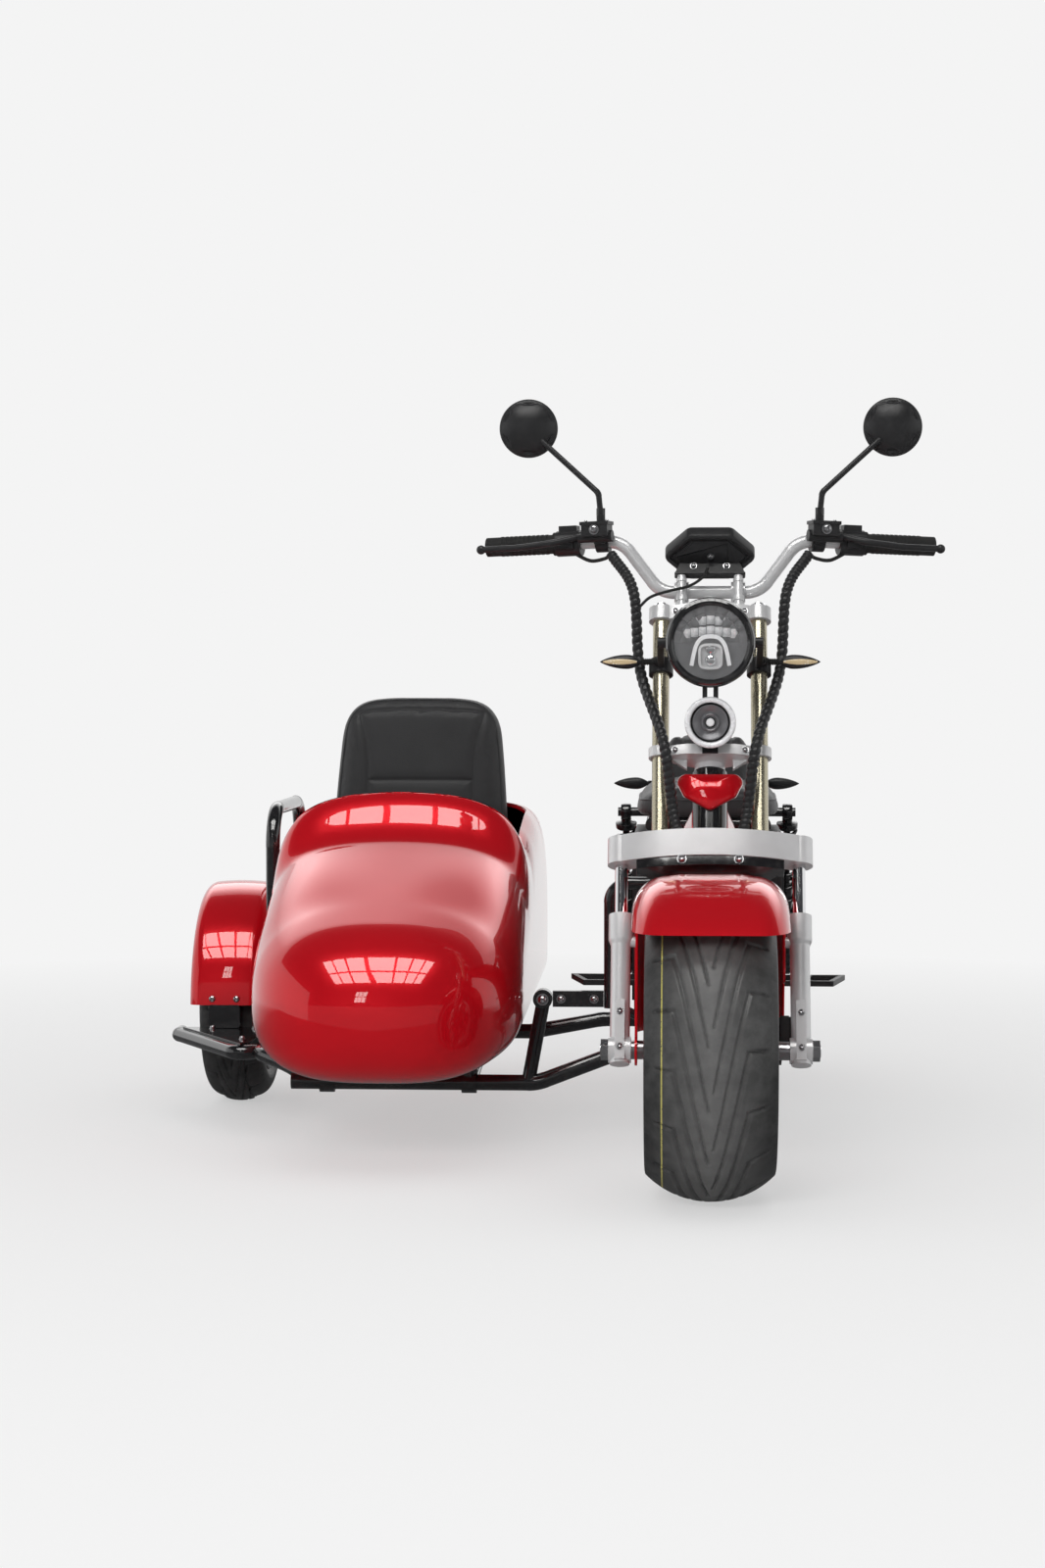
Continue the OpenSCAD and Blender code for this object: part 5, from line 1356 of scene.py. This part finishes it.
class SIDECAR_OT_controls(bpy.types.Operator):
    """Dresses the bars with cable looms, thin cables, the display, mirrors, screws and buttons"""

    bl_idname = "sidecar.controls"
    bl_label = "Controls"

    def looms(self):
        route = fork([(168, -0.8, 877), (129, -10.9, 801.4), (117, 17, 669), (77, -38, 516.7),
                      (60, 2, 404.8), (40, 11.7, 314.2)])
        wrap, thin = Shape(), Shape()
        path = smooth_path(route, 90)
        turns = np.linalg.norm(np.diff(path, axis=0), axis=1).sum() / 11
        pod = smooth_path([(232, 395, 1043), (205, 385, 1030), (182, 370, 1032), (168, 358, 1038)], 10)
        for k, way in enumerate(both_sides(path)):
            wrap.tube(way, lambda s, a: 7.0
                      + 2.4 * np.abs(np.cos((a - 2 * math.pi * turns * s) / 2)) ** 0.5, 14)
            thin.tube(both_sides(pod)[k], 3.2, 12)
        thin.tube(smooth_path([(-4, 338, 1015), (-12, 333, 1000), (-35, 325, 985), (-70, 318, 976),
                               (-100, 312, 966), (-118, 306, 950)], 12), 2.5, 10)
        wrap.piece("cable_loom_wraps", 70, satin_black, "steering", "black_plastic", "cable_looms")
        thin.piece("thin_cables", 60, soft_rubber, "steering", "rubber")

    def display(self):
        lean = math.radians(38)

        def place(p):
            a, b, c = p.T
            return np.column_stack([a, 360.3 - b * math.sin(lean) - c * math.cos(lean),
                                    1041.2 + b * math.cos(lean) - c * math.sin(lean)])
        corner = np.radians(np.arange(0, 360, 60))
        outline = rounded(np.column_stack([61 * np.cos(corner), 36 * np.sin(corner)]), 15)
        case = stack(Shape(), outline,
                     [(9, -10), (8.4, -13), (5, -14), (1.6, -13.4), (0, -11), (0, 8),
                      (1, 11.4), (3.6, 13.6), (7, 14), (9, 12.6), (9.4, 9.6), (13, 9.6), (14, 11.6),
                      (17, 12.6)], place)
        stack(case, rounded([(-57, 3), (57, 3), (42, 41), (-42, 41)], 3),
              [(0.8, -2), (0, -1.2), (0, 1.2), (0.8, 2)],
              lambda p: fork(np.column_stack([p[:, 0], 9 + p[:, 2], 840 + p[:, 1]])))
        stack(case, rounded([(-57, -7), (57, -7), (57, 7), (-57, 7)], 3),
              [(0.8, 0), (0, 0.8), (0, 3.2), (0.8, 4)],
              lambda p: fork(np.column_stack([p[:, 0], 9 + p[:, 1], 840 + p[:, 2]])))
        case.piece("display_case", 32, satin_black, "steering", "black_plastic", "display")
        pane = stack(Shape(), inset(outline, 9.3), [(0, -9), (0, -11.4), (1.2, -12)], place)
        pane.piece("display_pane", 32, dark_glass, "steering", "lens")
        bolts = Shape()
        bolts.bolt(place(np.array([[1, 3, 12.4]]))[0], (0, -math.cos(lean), -math.sin(lean)), 9)
        for x in (-28, 28):
            bolts.bolt(fork((x, 7, 858))[0], fork((0, -1, 0))[0] - fork((0, 0, 0))[0], 9)
        for side in (-1, 1):
            for along in (16, 54):
                up = on_bar(-34, -33, along, side) - on_bar(-33, -33, along, side)
                bolts.bolt(on_bar(-33, -33, along, side), up, 6, washer=False)
            bolts.bolt(on_bar(-19, -50, 35, side),
                       on_bar(-19, -51, 35, side) - on_bar(-19, -50, 35, side), 13, 4)
        bolts.piece("control_screws", 30, brushed_steel, "steering", "steel")
        button = Shape()
        for side in (-1, 1):
            for along, size in ((83, 6.5), (102, 5)):
                foot = on_bar(0, 20.5, along, side)
                button.turned([(size, 0), (size, 4), (0.8 * size, 5.4), (0.3 * size, 5.6),
                               (0.01, 5.2)], foot,
                              on_bar(0, 21.5, along, side) - foot, 24)
        button.piece("switch_buttons", 35, tail_lens, "steering", "tail_red")

    def mirrors(self):
        turn = np.arange(144) * 2 * math.pi / 144
        rings = [(46.2, np.full(144, -3.4)), (46.2, np.full(144, -5.2)), (46.9, np.full(144, -6)),
                 (49, np.full(144, -6)), (50, np.full(144, -5)), (50, np.full(144, 2.6)),
                 (49.2, np.full(144, 4)), (47.6, np.full(144, 4.6))]
        nearest = (turn - math.radians(30) + math.pi / 6) % (math.pi / 3) - math.pi / 6
        for r in np.concatenate([np.linspace(47, 30, 26), np.linspace(28, 0.5, 12)]):
            dome = 24 - 67.5 + math.sqrt(67.5 ** 2 - r * r)
            gap = np.hypot(r * np.cos(nearest) - 63, r * np.sin(nearest))
            cut = np.clip((25 - gap) / 3.0, 0, 1)
            cut = cut * cut * (3 - 2 * cut)
            rings.append((r, np.maximum(5.4, dome - np.maximum(0, dome - 6.5) * cut)))
        shells = Shape()
        for side in (-1, 1):
            at = np.array([side * 311, 402.3, 1257.2])
            points = [at + np.column_stack([r * np.cos(turn), -high, r * np.sin(turn)])
                      for r, high in rings]
            shells.loft(points)
            ball = [(8 * math.sin(t), -8 * math.cos(t)) for t in np.linspace(0.02, 3.12, 14)]
            shells.turned(ball, at + np.array([-side * 14, -10, -14]), (0, 0, 1), 24)
        shells.piece("mirror_domes", 40, satin_black, "steering", "black_plastic", "mirror_shells")

    def execute(self, context):
        self.looms()
        self.display()
        self.mirrors()
        return {"FINISHED"}


class SIDECAR_OT_bodywork(bpy.types.Operator):
    """Forms the spine, the head cowl, the tail light, the coil shocks and the sidecar fender's stays"""

    bl_idname = "sidecar.bodywork"
    bl_label = "Bodywork"

    def spine(self):
        rows = [(232, 590, 60, 74, -24), (330, 545, 92, 92, -30), (420, 494, 132, 100, -44),
                (492, 412, 132, 98, -62), (532, 320, 120, 88, -66), (572, 252, 120, 68, -40),
                (622, 228, 120, 56, -8), (666, 226, 120, 54, 0)]
        rings = []
        for y, z, wide, deep, pitch in smooth_path(rows, 8):
            r, t = 22.0, math.radians(pitch)
            a, b = wide / 2 - r, deep / 2 - r
            flat = rounded([(-a, -b), (a, -b), (a, b), (-a, b)], r, 9)
            rings.append(np.column_stack([flat[:, 0], y - flat[:, 1] * math.sin(t),
                                          z + flat[:, 1] * math.cos(t)]))
        skin = Shape().loft(rings)
        skin.piece("spine_skin", 50, candy_red, "chassis", "red_paint", "spine")

    def cowl(self):
        rim = rounded([(0, -27), (33, -7), (41, 11), (-41, 11), (-33, -7)], 13, 12)
        middle, rings = np.array([0.0, -3.0]), []
        for share, ease_back in ((0.97, 9.0), (1.0, 7.5), (1.0, 3.5), (0.99, 1.6), (0.965, 0.5),
                                 (0.92, 0.1), (0.8, 0), (0.6, 0), (0.4, 0), (0.2, 0), (0.02, 0)):
            flat = middle + (rim - middle) * share
            deep = 96 - np.sqrt(114 ** 2 - flat[:, 0] ** 2 - (flat[:, 1] + 2) ** 2) + ease_back
            rings.append(fork(np.column_stack([flat[:, 0], 26 + deep, 458 + flat[:, 1]])))
        skin = Shape().loft(rings)
        skin.piece("head_cowl_skin", 60, candy_red, "chassis", "red_paint", "head_cowl")

    def tail(self):
        outline = rounded([(-80, -15), (80, -15), (80, 15), (-80, 15)], 10)

        def place(p):
            return np.column_stack([p[:, 0], 1330.4 + p[:, 2], 560 + p[:, 1]])
        case = stack(Shape(), outline,
                     [(3, 0), (0.6, 1), (0, 3), (0, 19), (1, 22), (3, 23), (4.4, 22), (4.6, 14)], place)
        case.piece("tail_case", 40, satin_black, "chassis", "black_plastic", "tail_light")
        lens = stack(Shape(), inset(outline, 4.8),
                     [(0, 14), (0, 24), (0.8, 26.4), (3, 28.2), (7, 29.2), (11, 29.6)], place)
        lens.piece("tail_lens_pane", 50, tail_lens, "chassis", "tail_red")

    def shocks(self):
        unit = Shape()
        for side in (-1, 1):
            foot, top = np.array([side * 159.5, 1290, 242.5]), np.array([side * 159.5, 1180, 561.0])
            long = np.linalg.norm(top - foot)
            axes, _ = frame_at(foot, top - foot, (1, 0, 0))
            for at, r in ((foot, 15), (top, 16)):
                unit.hoop([(8.4, -10), (r - 1.5, -10), (r, -8.5), (r, 8.5), (r - 1.5, 10), (8.4, 10)], at,
                          (1, 0, 0), 40)
            unit.turned([(13, 12), (13, 25), (20, 26), (21, 27.5), (21, 36.5), (20, 38), (13, 38),
                         (13, 0.55 * long), (11, 0.55 * long + 3), (7, 0.55 * long + 3), (7, long - 38),
                         (20, long - 34), (21, long - 32.5), (21, long - 23.5), (20, long - 22),
                         (10, long - 20), (10, long - 13)], foot, top - foot, 40)
            t = np.linspace(0, 1, 260)
            spin = 2 * math.pi * 9 * t
            coil = np.column_stack([17 * np.cos(spin), 17 * np.sin(spin),
                                    42 + (long - 80) * t]) @ axes.T + foot
            unit.tube(coil, 4.0, 10)
        unit.piece("coil_shocks", 45, gloss_black, "chassis", "black_paint", "rear_shocks")

    def bracket(self):
        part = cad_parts["fender_brackets"]
        at = np.array([part.matrix_world @ v.co for v in part.data.vertices]) * 1000 - SHIFT
        side, front = at[at[:, 1] > 1000], at[at[:, 1] < 1000]
        low, high = side.min(axis=0), side.max(axis=0)
        a, b = (high - low)[1] / 2 - 5, (high - low)[2] / 2 - 5
        middle = (low + high) / 2
        form = stack(Shape(), rounded([(-a, -b), (a, -b), (a, b), (-a, b)], 5),
                     [(1, low[0]), (0, low[0] + 1), (0, high[0] - 1),
                     (1, high[0])], lambda p: np.column_stack([p[:, 2], middle[1] + p[:, 0],
                                                               middle[2] + p[:, 1]]))
        low = front.min(axis=0)
        stack(form, rounded([(-24, 6), (24, 6), (24, 38), (-24, 38)], 6),
              [(0.8, low[1]), (0, low[1] + 0.8), (0, low[1] + 4.2),
              (0.8, low[1] + 5)], lambda p: np.column_stack([p[:, 0] + SIDE_HUB[0], p[:, 2],
                                                             low[2] + p[:, 1]]))
        form.piece("fender_stays", 40, gloss_black, "chassis", "black_paint", "fender_brackets")

    def execute(self, context):
        for make in (self.spine, self.cowl, self.tail, self.shocks, self.bracket):
            make()
        return {"FINISHED"}


class SIDECAR_OT_bolts(bpy.types.Operator):
    """Sets bolts, fork caps and the rims' bright lips on the surfaces of the CAD parts"""

    bl_idname = "sidecar.bolts"
    bl_label = "Bolts"

    def execute(self, context):
        ahead, right, left = np.array([0, 1.0, 0]), np.array([-1.0, 0, 0]), np.array([1.0, 0, 0])
        back = fork((0, 1, 0))[0] - fork((0, 0, 0))[0]
        up = fork((0, 0, 1))[0] - fork((0, 0, 0))[0]
        steering, chassis = [], []
        for s in (-1, 1):
            steering += [("fork_legs", fork((s * 144, -90, t))[0], back, 9) for t in (0, 58)]
            steering += [("middle_clamp", fork((s * 58, -90, 517))[0], back, 9),
                         ("top_clamp", fork((s * 58, -90, 770))[0], back, 9),
                         ("lower_yoke", fork((s * 46, -140, 306))[0], back, 12)]
            chassis += [("sidecar_fender", (s * 23 + SIDE_HUB[0], 700, 223), ahead, 13),
                        ("battery_case", (s * 122, 560, 520), ahead, 9),
                        ("battery_case", (s * 122, 560, 300), ahead, 9),
                        ("rear_fender", (s * 40, 1380, 800), (0, 0, -1), 9)]
        steering += [("brake_caliper", fork((300, 83, t))[0], right, 10) for t in (25, 57)]
        chassis += [("sidecar_link", (x, 300, 266), ahead, 12) for x in (-200, -258)]
        chassis += [("sidecar_chassis", (-290, 300, 266), ahead, 16)]
        chassis += [("step_plate", (x, y, 400), (0, 0, -1), 9)
                    for x, y in ((-850, 660), (-930, 815), (-850, 815))]

        def circle(node, x, hub, r, count, way, size):
            turns = np.arange(count) * 2 * math.pi / count
            return [(node, (x, hub[1] + r * math.cos(t), hub[2] + r * math.sin(t)), way, size)
                    for t in turns]

        groups = {"steering": steering, "chassis": chassis,
                  "front_wheel": circle("front_rim", -300, FRONT_HUB, 27, 5, left, 7),
                  "rear_wheel": circle("rear_rim", -300, REAR_HUB, 62, 8, left, 8),
                  "sidecar_wheel": circle("sidecar_rim", -1200, SIDE_HUB, 27, 5, left, 8)}
        groups["front_wheel"] += circle("front_brake_disc", 300, FRONT_HUB, 34, 6, right, 8)
        groups["rear_wheel"] += circle("rear_rim", 300, REAR_HUB, 62, 8, right, 8)
        for body, places in groups.items():
            made = Shape()
            for node, start, way, size in places:
                made.bolt(hit(node, start, np.asarray(way, float)), -np.asarray(way, float), size)
            made.piece(body + "_bolts", 30, brushed_steel, body, "steel")
        caps = Shape()
        for s in (-1, 1):
            caps.turned([(16.5, -1), (16.5, 2.5), (15, 4.5), (9, 5.5), (8.5, 9.5), (7.5, 10.5),
                         (0.01, 10.8)], fork((s * 82, 18, 782))[0], up, 40)
        caps.turned([(18.8, -0.6), (18, 3.4), (14, 7), (8, 9), (0.01, 9.8)], fork((0, 50, 796))[0], up, 40)
        caps.piece("fork_caps", 35, polished_chrome, "steering", "chrome")
        for body, at, size in (("front_wheel", FRONT_HUB, FAT_TYRE), ("rear_wheel", REAR_HUB, FAT_TYRE),
                               ("sidecar_wheel", SIDE_HUB, SIDE_TYRE)):
            lips, b, h = Shape(), size[2] / 2, 0.47 * size[1]
            for way in (left, right):
                lips.hoop([(b - 6.4, h - 3), (b - 6.4, h + 0.2), (b - 4, h + 1.2), (b + 2, h + 0.8),
                           (b + 7, h + 1.4), (b + 9.2, h), (b + 9.2, h - 2)], at, way, 128)
            lips.piece(body + "_lips", 40, brushed_steel, body, "cast_alloy")
        return {"FINISHED"}


class SIDECAR_OT_finishes(bpy.types.Operator):
    """Gives each CAD part its finish and eases the sharp edges of painted and cast ones"""

    bl_idname = "sidecar.finishes"
    bl_label = "Finishes"

    def execute(self, context):
        finishes = {
            rim_red: ["front_rim", "rear_rim", "sidecar_rim"],
            brushed_steel: ["front_brake_disc", "front_axle", "rear_axle", "steering_stem"],
            fork_silver: ["fork_legs", "fork_bridge", "middle_clamp", "top_clamp", "handlebar"],
            polished_chrome: ["fork_stanchions"],
            gloss_black: ["lower_yoke", "headlight_shell", "head_tube", "frame", "swingarm",
                          "rear_shocks", "sidecar_chassis", "sidecar_link", "grab_rail", "fender_brackets",
                          "step_plate"],
            champagne_tube: ["fork_upper_tubes"],
            soft_rubber: ["grips"],
            satin_black: ["mirror_stalks", "switch_pods", "brake_masters", "brake_levers",
                          "headlight_bracket", "brake_caliper", "battery_case", "footpegs", "mirror_shells",
                          "display", "horn", "front_indicators", "rear_indicators", "cable_looms",
                          "rider_seat", "passenger_seat", "seat_cushion", "seat_back"],
            mirror_glass: ["mirror_glasses"],
            clear_lens: ["headlight_lens"],
            candy_red: ["front_fender", "rear_fender", "sidecar_fender", "head_cowl", "spine",
                        "sidecar_body"],
            cast_alloy: ["sidecar_axle"],
            tail_lens: ["tail_light"],
            seat_board: ["seat_base"],
            tyre_rubber: ["front_tyre", "rear_tyre", "sidecar_tyre"],
        }
        for finish, names in finishes.items():
            for name in names:
                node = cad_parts[name]
                node.data.materials.clear()
                node.data.materials.append(finish())
                if finish in (fork_silver, gloss_black, satin_black, rim_red, cast_alloy, brushed_steel):
                    weld = node.modifiers.new("weld", "WELD")
                    weld.merge_threshold = 0.00002
                    edge = node.modifiers.new("eased_edge", "BEVEL")
                    edge.width, edge.segments, edge.limit_method = 0.0009, 2, "ANGLE"
                    edge.angle_limit, edge.harden_normals = math.radians(42), False
                    node.modifiers.new("even_shade", "WEIGHTED_NORMAL").keep_sharp = False
        return {"FINISHED"}


class SIDECAR_OT_stage(bpy.types.Operator):
    """Sets the pale floor, the studio light and the camera"""

    bl_idname = "sidecar.stage"
    bl_label = "Stage"

    def panel(self, name, corners, material):
        """A flat panel of the studio from its corners in metres."""
        mesh = bpy.data.meshes.new(name)
        mesh.from_pydata([tuple(c) for c in corners], [],
                         [tuple(range(i, i + 4)) for i in range(0, len(corners), 4)])
        mesh.materials.append(material)
        made = bpy.data.objects.new(name, mesh)
        bpy.context.scene.collection.objects.link(made)

    def bare(self, made):
        """First wire in the emptied nodes of a material or a world."""
        made.use_nodes = True
        made.node_tree.nodes.clear()
        return Wire(made.node_tree)

    def in_sight(self, start):
        """1 for what the camera, gloss or glass sees, and 0 for light that lands on things."""
        seen = start.node("ShaderNodeLightPath", out="Is Camera Ray")
        for ray in ("Is Glossy Ray", "Is Transmission Ray"):
            seen = seen.maths("MAXIMUM", seen, start.node("ShaderNodeLightPath", out=ray))
        return seen

    def pale_floor(self, level):
        """Floor whose shadow fades out into the even backdrop."""
        made = bpy.data.materials.new("pale_floor")
        start = self.bare(made)
        place = start.node("ShaderNodeTexCoord", out="Object")
        far = place.node("ShaderNodeVectorMath", {"operation": "LENGTH"}, {0: place},
                         out="Value").between(0.9, 3.4)
        share = self.in_sight(start) * (far * 0.45 + 0.55)
        grain = place.noise(90, 3.0)
        tone = grain.tint((level * 0.98,) * 3, (level,) * 3)
        matt = start.node("ShaderNodeBsdfDiffuse", None, {"Color": tone})
        even = start.node("ShaderNodeEmission", None, {"Color": (level, level, level, 1), "Strength": 1.0})
        mixed = start.node("ShaderNodeMixShader", None, {0: share, 1: matt, 2: even})
        start.node("ShaderNodeOutputMaterial", None, {"Surface": mixed})
        return made

    def in_gloss(self, name, colour, strength, wide=None, near=None):
        """Studio panel that shows only in reflections, with edges that fade where asked."""
        made = bpy.data.materials.new(name)
        start = self.bare(made)
        share = start.node("ShaderNodeLightPath", out="Is Glossy Ray")
        place = start.node("ShaderNodeTexCoord", out="Object")
        if wide:
            share = share * abs(place.axis("X")).between(*wide)
        if near:
            share = share * place.axis("Y").between(*near)
        glow = start.node("ShaderNodeEmission", None, {"Color": (*colour, 1), "Strength": strength})
        clear = start.node("ShaderNodeBsdfTransparent", None)
        mixed = start.node("ShaderNodeMixShader", None, {0: share, 1: clear, 2: glow})
        start.node("ShaderNodeOutputMaterial", None, {"Surface": mixed})
        return made

    def world(self, level, sky):
        made = bpy.data.worlds.new("studio")
        bpy.context.scene.world = made
        start = self.bare(made)
        seen = self.in_sight(start)
        back = start.node("ShaderNodeBackground", None,
                          {"Color": (level, level, level, 1), "Strength": 1.0})
        light = start.node("ShaderNodeBackground", None, {"Color": (1, 1, 1, 1), "Strength": sky})
        mixed = start.node("ShaderNodeMixShader", None, {0: seen, 1: light, 2: back})
        start.node("ShaderNodeOutputWorld", None, {"Surface": mixed})

    def lamp(self, name, at, target, size, power):
        light = bpy.data.lights.new(name, "AREA")
        light.shape = "RECTANGLE"
        light.size, light.size_y = size
        light.energy = power
        made = bpy.data.objects.new(name, light)
        made.location = at
        made.rotation_mode = "QUATERNION"
        made.rotation_quaternion = (Vector(target) - Vector(at)).to_track_quat("-Z", "Y")
        made.visible_camera = made.visible_glossy = False
        bpy.context.scene.collection.objects.link(made)

    def window(self, name, corner, wide, deep, across, down, material):
        """A window of panes out of the camera's sight that shows in the paint."""
        corner, wide, deep = (np.asarray(v, float) for v in (corner, wide, deep))
        corners = []
        for i in range(across):
            for k in range(down):
                for u, v in ((0.07, 0.06), (0.93, 0.06), (0.93, 0.94), (0.07, 0.94)):
                    corners.append(corner + wide * (i + u) / across + deep * (k + v) / down)
        self.panel(name, corners, material)

    def execute(self, context):
        scene = context.scene
        levels = scene.sidecar_stage
        scene.view_settings.view_transform = "Standard"
        self.world(levels.backdrop, levels.sky)
        floor = 40.0
        self.panel("studio_floor",
                   [(-floor, -floor, 0), (floor, -floor, 0), (floor, floor, 0), (-floor, floor, 0)],
                   self.pale_floor(levels.backdrop))
        # The room that reflections see, in metres.
        half, front, sill, roof, film = 16.0, -11.0, 4.6, 9.5, 0.003
        dark = self.in_gloss("dark_flag", (0.05, 0.05, 0.055), 1.0)
        grey = self.in_gloss("grey_flag", (0.32, 0.32, 0.325), 1.0)
        self.panel("studio_front",
                   [(-half, front, 0), (half, front, 0), (half, front, sill), (-half, front, sill)], grey)
        self.panel("studio_flag",
                   [(-half, front, sill), (half, front, sill), (half, front, roof),
                    (-half, front, roof)], dark)
        self.panel("studio_roof",
                   [(-half, front, roof), (half, front, roof), (half, 7, roof), (-half, 7, roof)], dark)
        pane = self.in_gloss("bright_pane", (1.0, 0.99, 0.97), 10.0)
        self.window("studio_window", (-5.4, -8.6, 9), (9.2, 0, 0), (0, 6.3, 0), 7, 2, pane)
        self.window("studio_side_window", (-2.8, -10.8, 5.4), (1.0, 0, 0), (0, 0, 3.0), 3, 2, pane)
        sky = self.in_gloss("bright_ceiling", (1.0, 1.0, 1.0), 2.7, (11.0, 5.0), (6.8, 9.8))
        self.panel("studio_ceiling", [(-11, 4.4, 9), (11, 4.4, 9), (11, 16, 7), (-11, 16, 7)], sky)
        low = self.in_gloss("dim_floor", (0.12, 0.12, 0.122), 1.0, None, (2.0, 0.6))
        self.panel("studio_dim_floor",
                   [(-half, front, film), (half, front, film), (half, 2, film), (-half, 2, film)], low)
        self.lamp("top_box", (0, -0.4, 4.4), (0, 0, 0), (5.5, 4.5), levels.top)
        self.lamp("front_box", (-1.6, -6.5, 3.2), (0, 0, 0.5), (3.2, 1.8), levels.key)
        view = bpy.data.cameras.new("camera")
        view.lens, view.sensor_width = 68.0, 36.0
        camera = bpy.data.objects.new("camera", view)
        camera.location = (0.276, -5.411, 0.847)
        camera.rotation_mode = "QUATERNION"
        # Where the photo's middle lies from the point straight ahead, and its focal length, in pixels.
        aside, down, focal = -171, -119, 3022
        camera.rotation_quaternion = Vector((aside / focal, 1, down / focal)).to_track_quat("-Z", "Y")
        scene.collection.objects.link(camera)
        scene.camera = camera
        return {"FINISHED"}


OPERATORS = (SIDECAR_OT_stage, SIDECAR_OT_finishes, SIDECAR_OT_tub, SIDECAR_OT_tyres, SIDECAR_OT_fenders,
             SIDECAR_OT_seats, SIDECAR_OT_lamps, SIDECAR_OT_controls, SIDECAR_OT_bodywork,
             SIDECAR_OT_bolts)
GROUPS = {"sidecar_paints": PaintColours, "sidecar_tread": TreadSizes, "sidecar_stage": StageLevels}


class SIDECAR_PT_panel(bpy.types.Panel):
    """Lists the sizes, the colours and the pieces"""

    bl_idname = "SIDECAR_PT_panel"
    bl_label = "Sidecar motorcycle"
    bl_space_type = "VIEW_3D"
    bl_region_type = "UI"
    bl_category = "Sidecar"

    def draw(self, context):
        for name, group in GROUPS.items():
            box = self.layout.box()
            for prop in group.__annotations__:
                box.prop(getattr(context.scene, name), prop)
        for operator in OPERATORS:
            self.layout.operator(operator.bl_idname)


def register():
    for made in (*GROUPS.values(), *OPERATORS, SIDECAR_PT_panel):
        bpy.utils.register_class(made)
    for name, group in GROUPS.items():
        setattr(bpy.types.Scene, name, bpy.props.PointerProperty(type=group))


def unregister():
    for name in GROUPS:
        delattr(bpy.types.Scene, name)
    for made in (SIDECAR_PT_panel, *reversed(OPERATORS), *reversed(list(GROUPS.values()))):
        bpy.utils.unregister_class(made)


def main():
    register()
    for operator in OPERATORS:
        group, name = operator.bl_idname.split(".")
        getattr(getattr(bpy.ops, group), name)()
    bpy.context.view_layer.update()


if __name__ == "__main__":
    main()
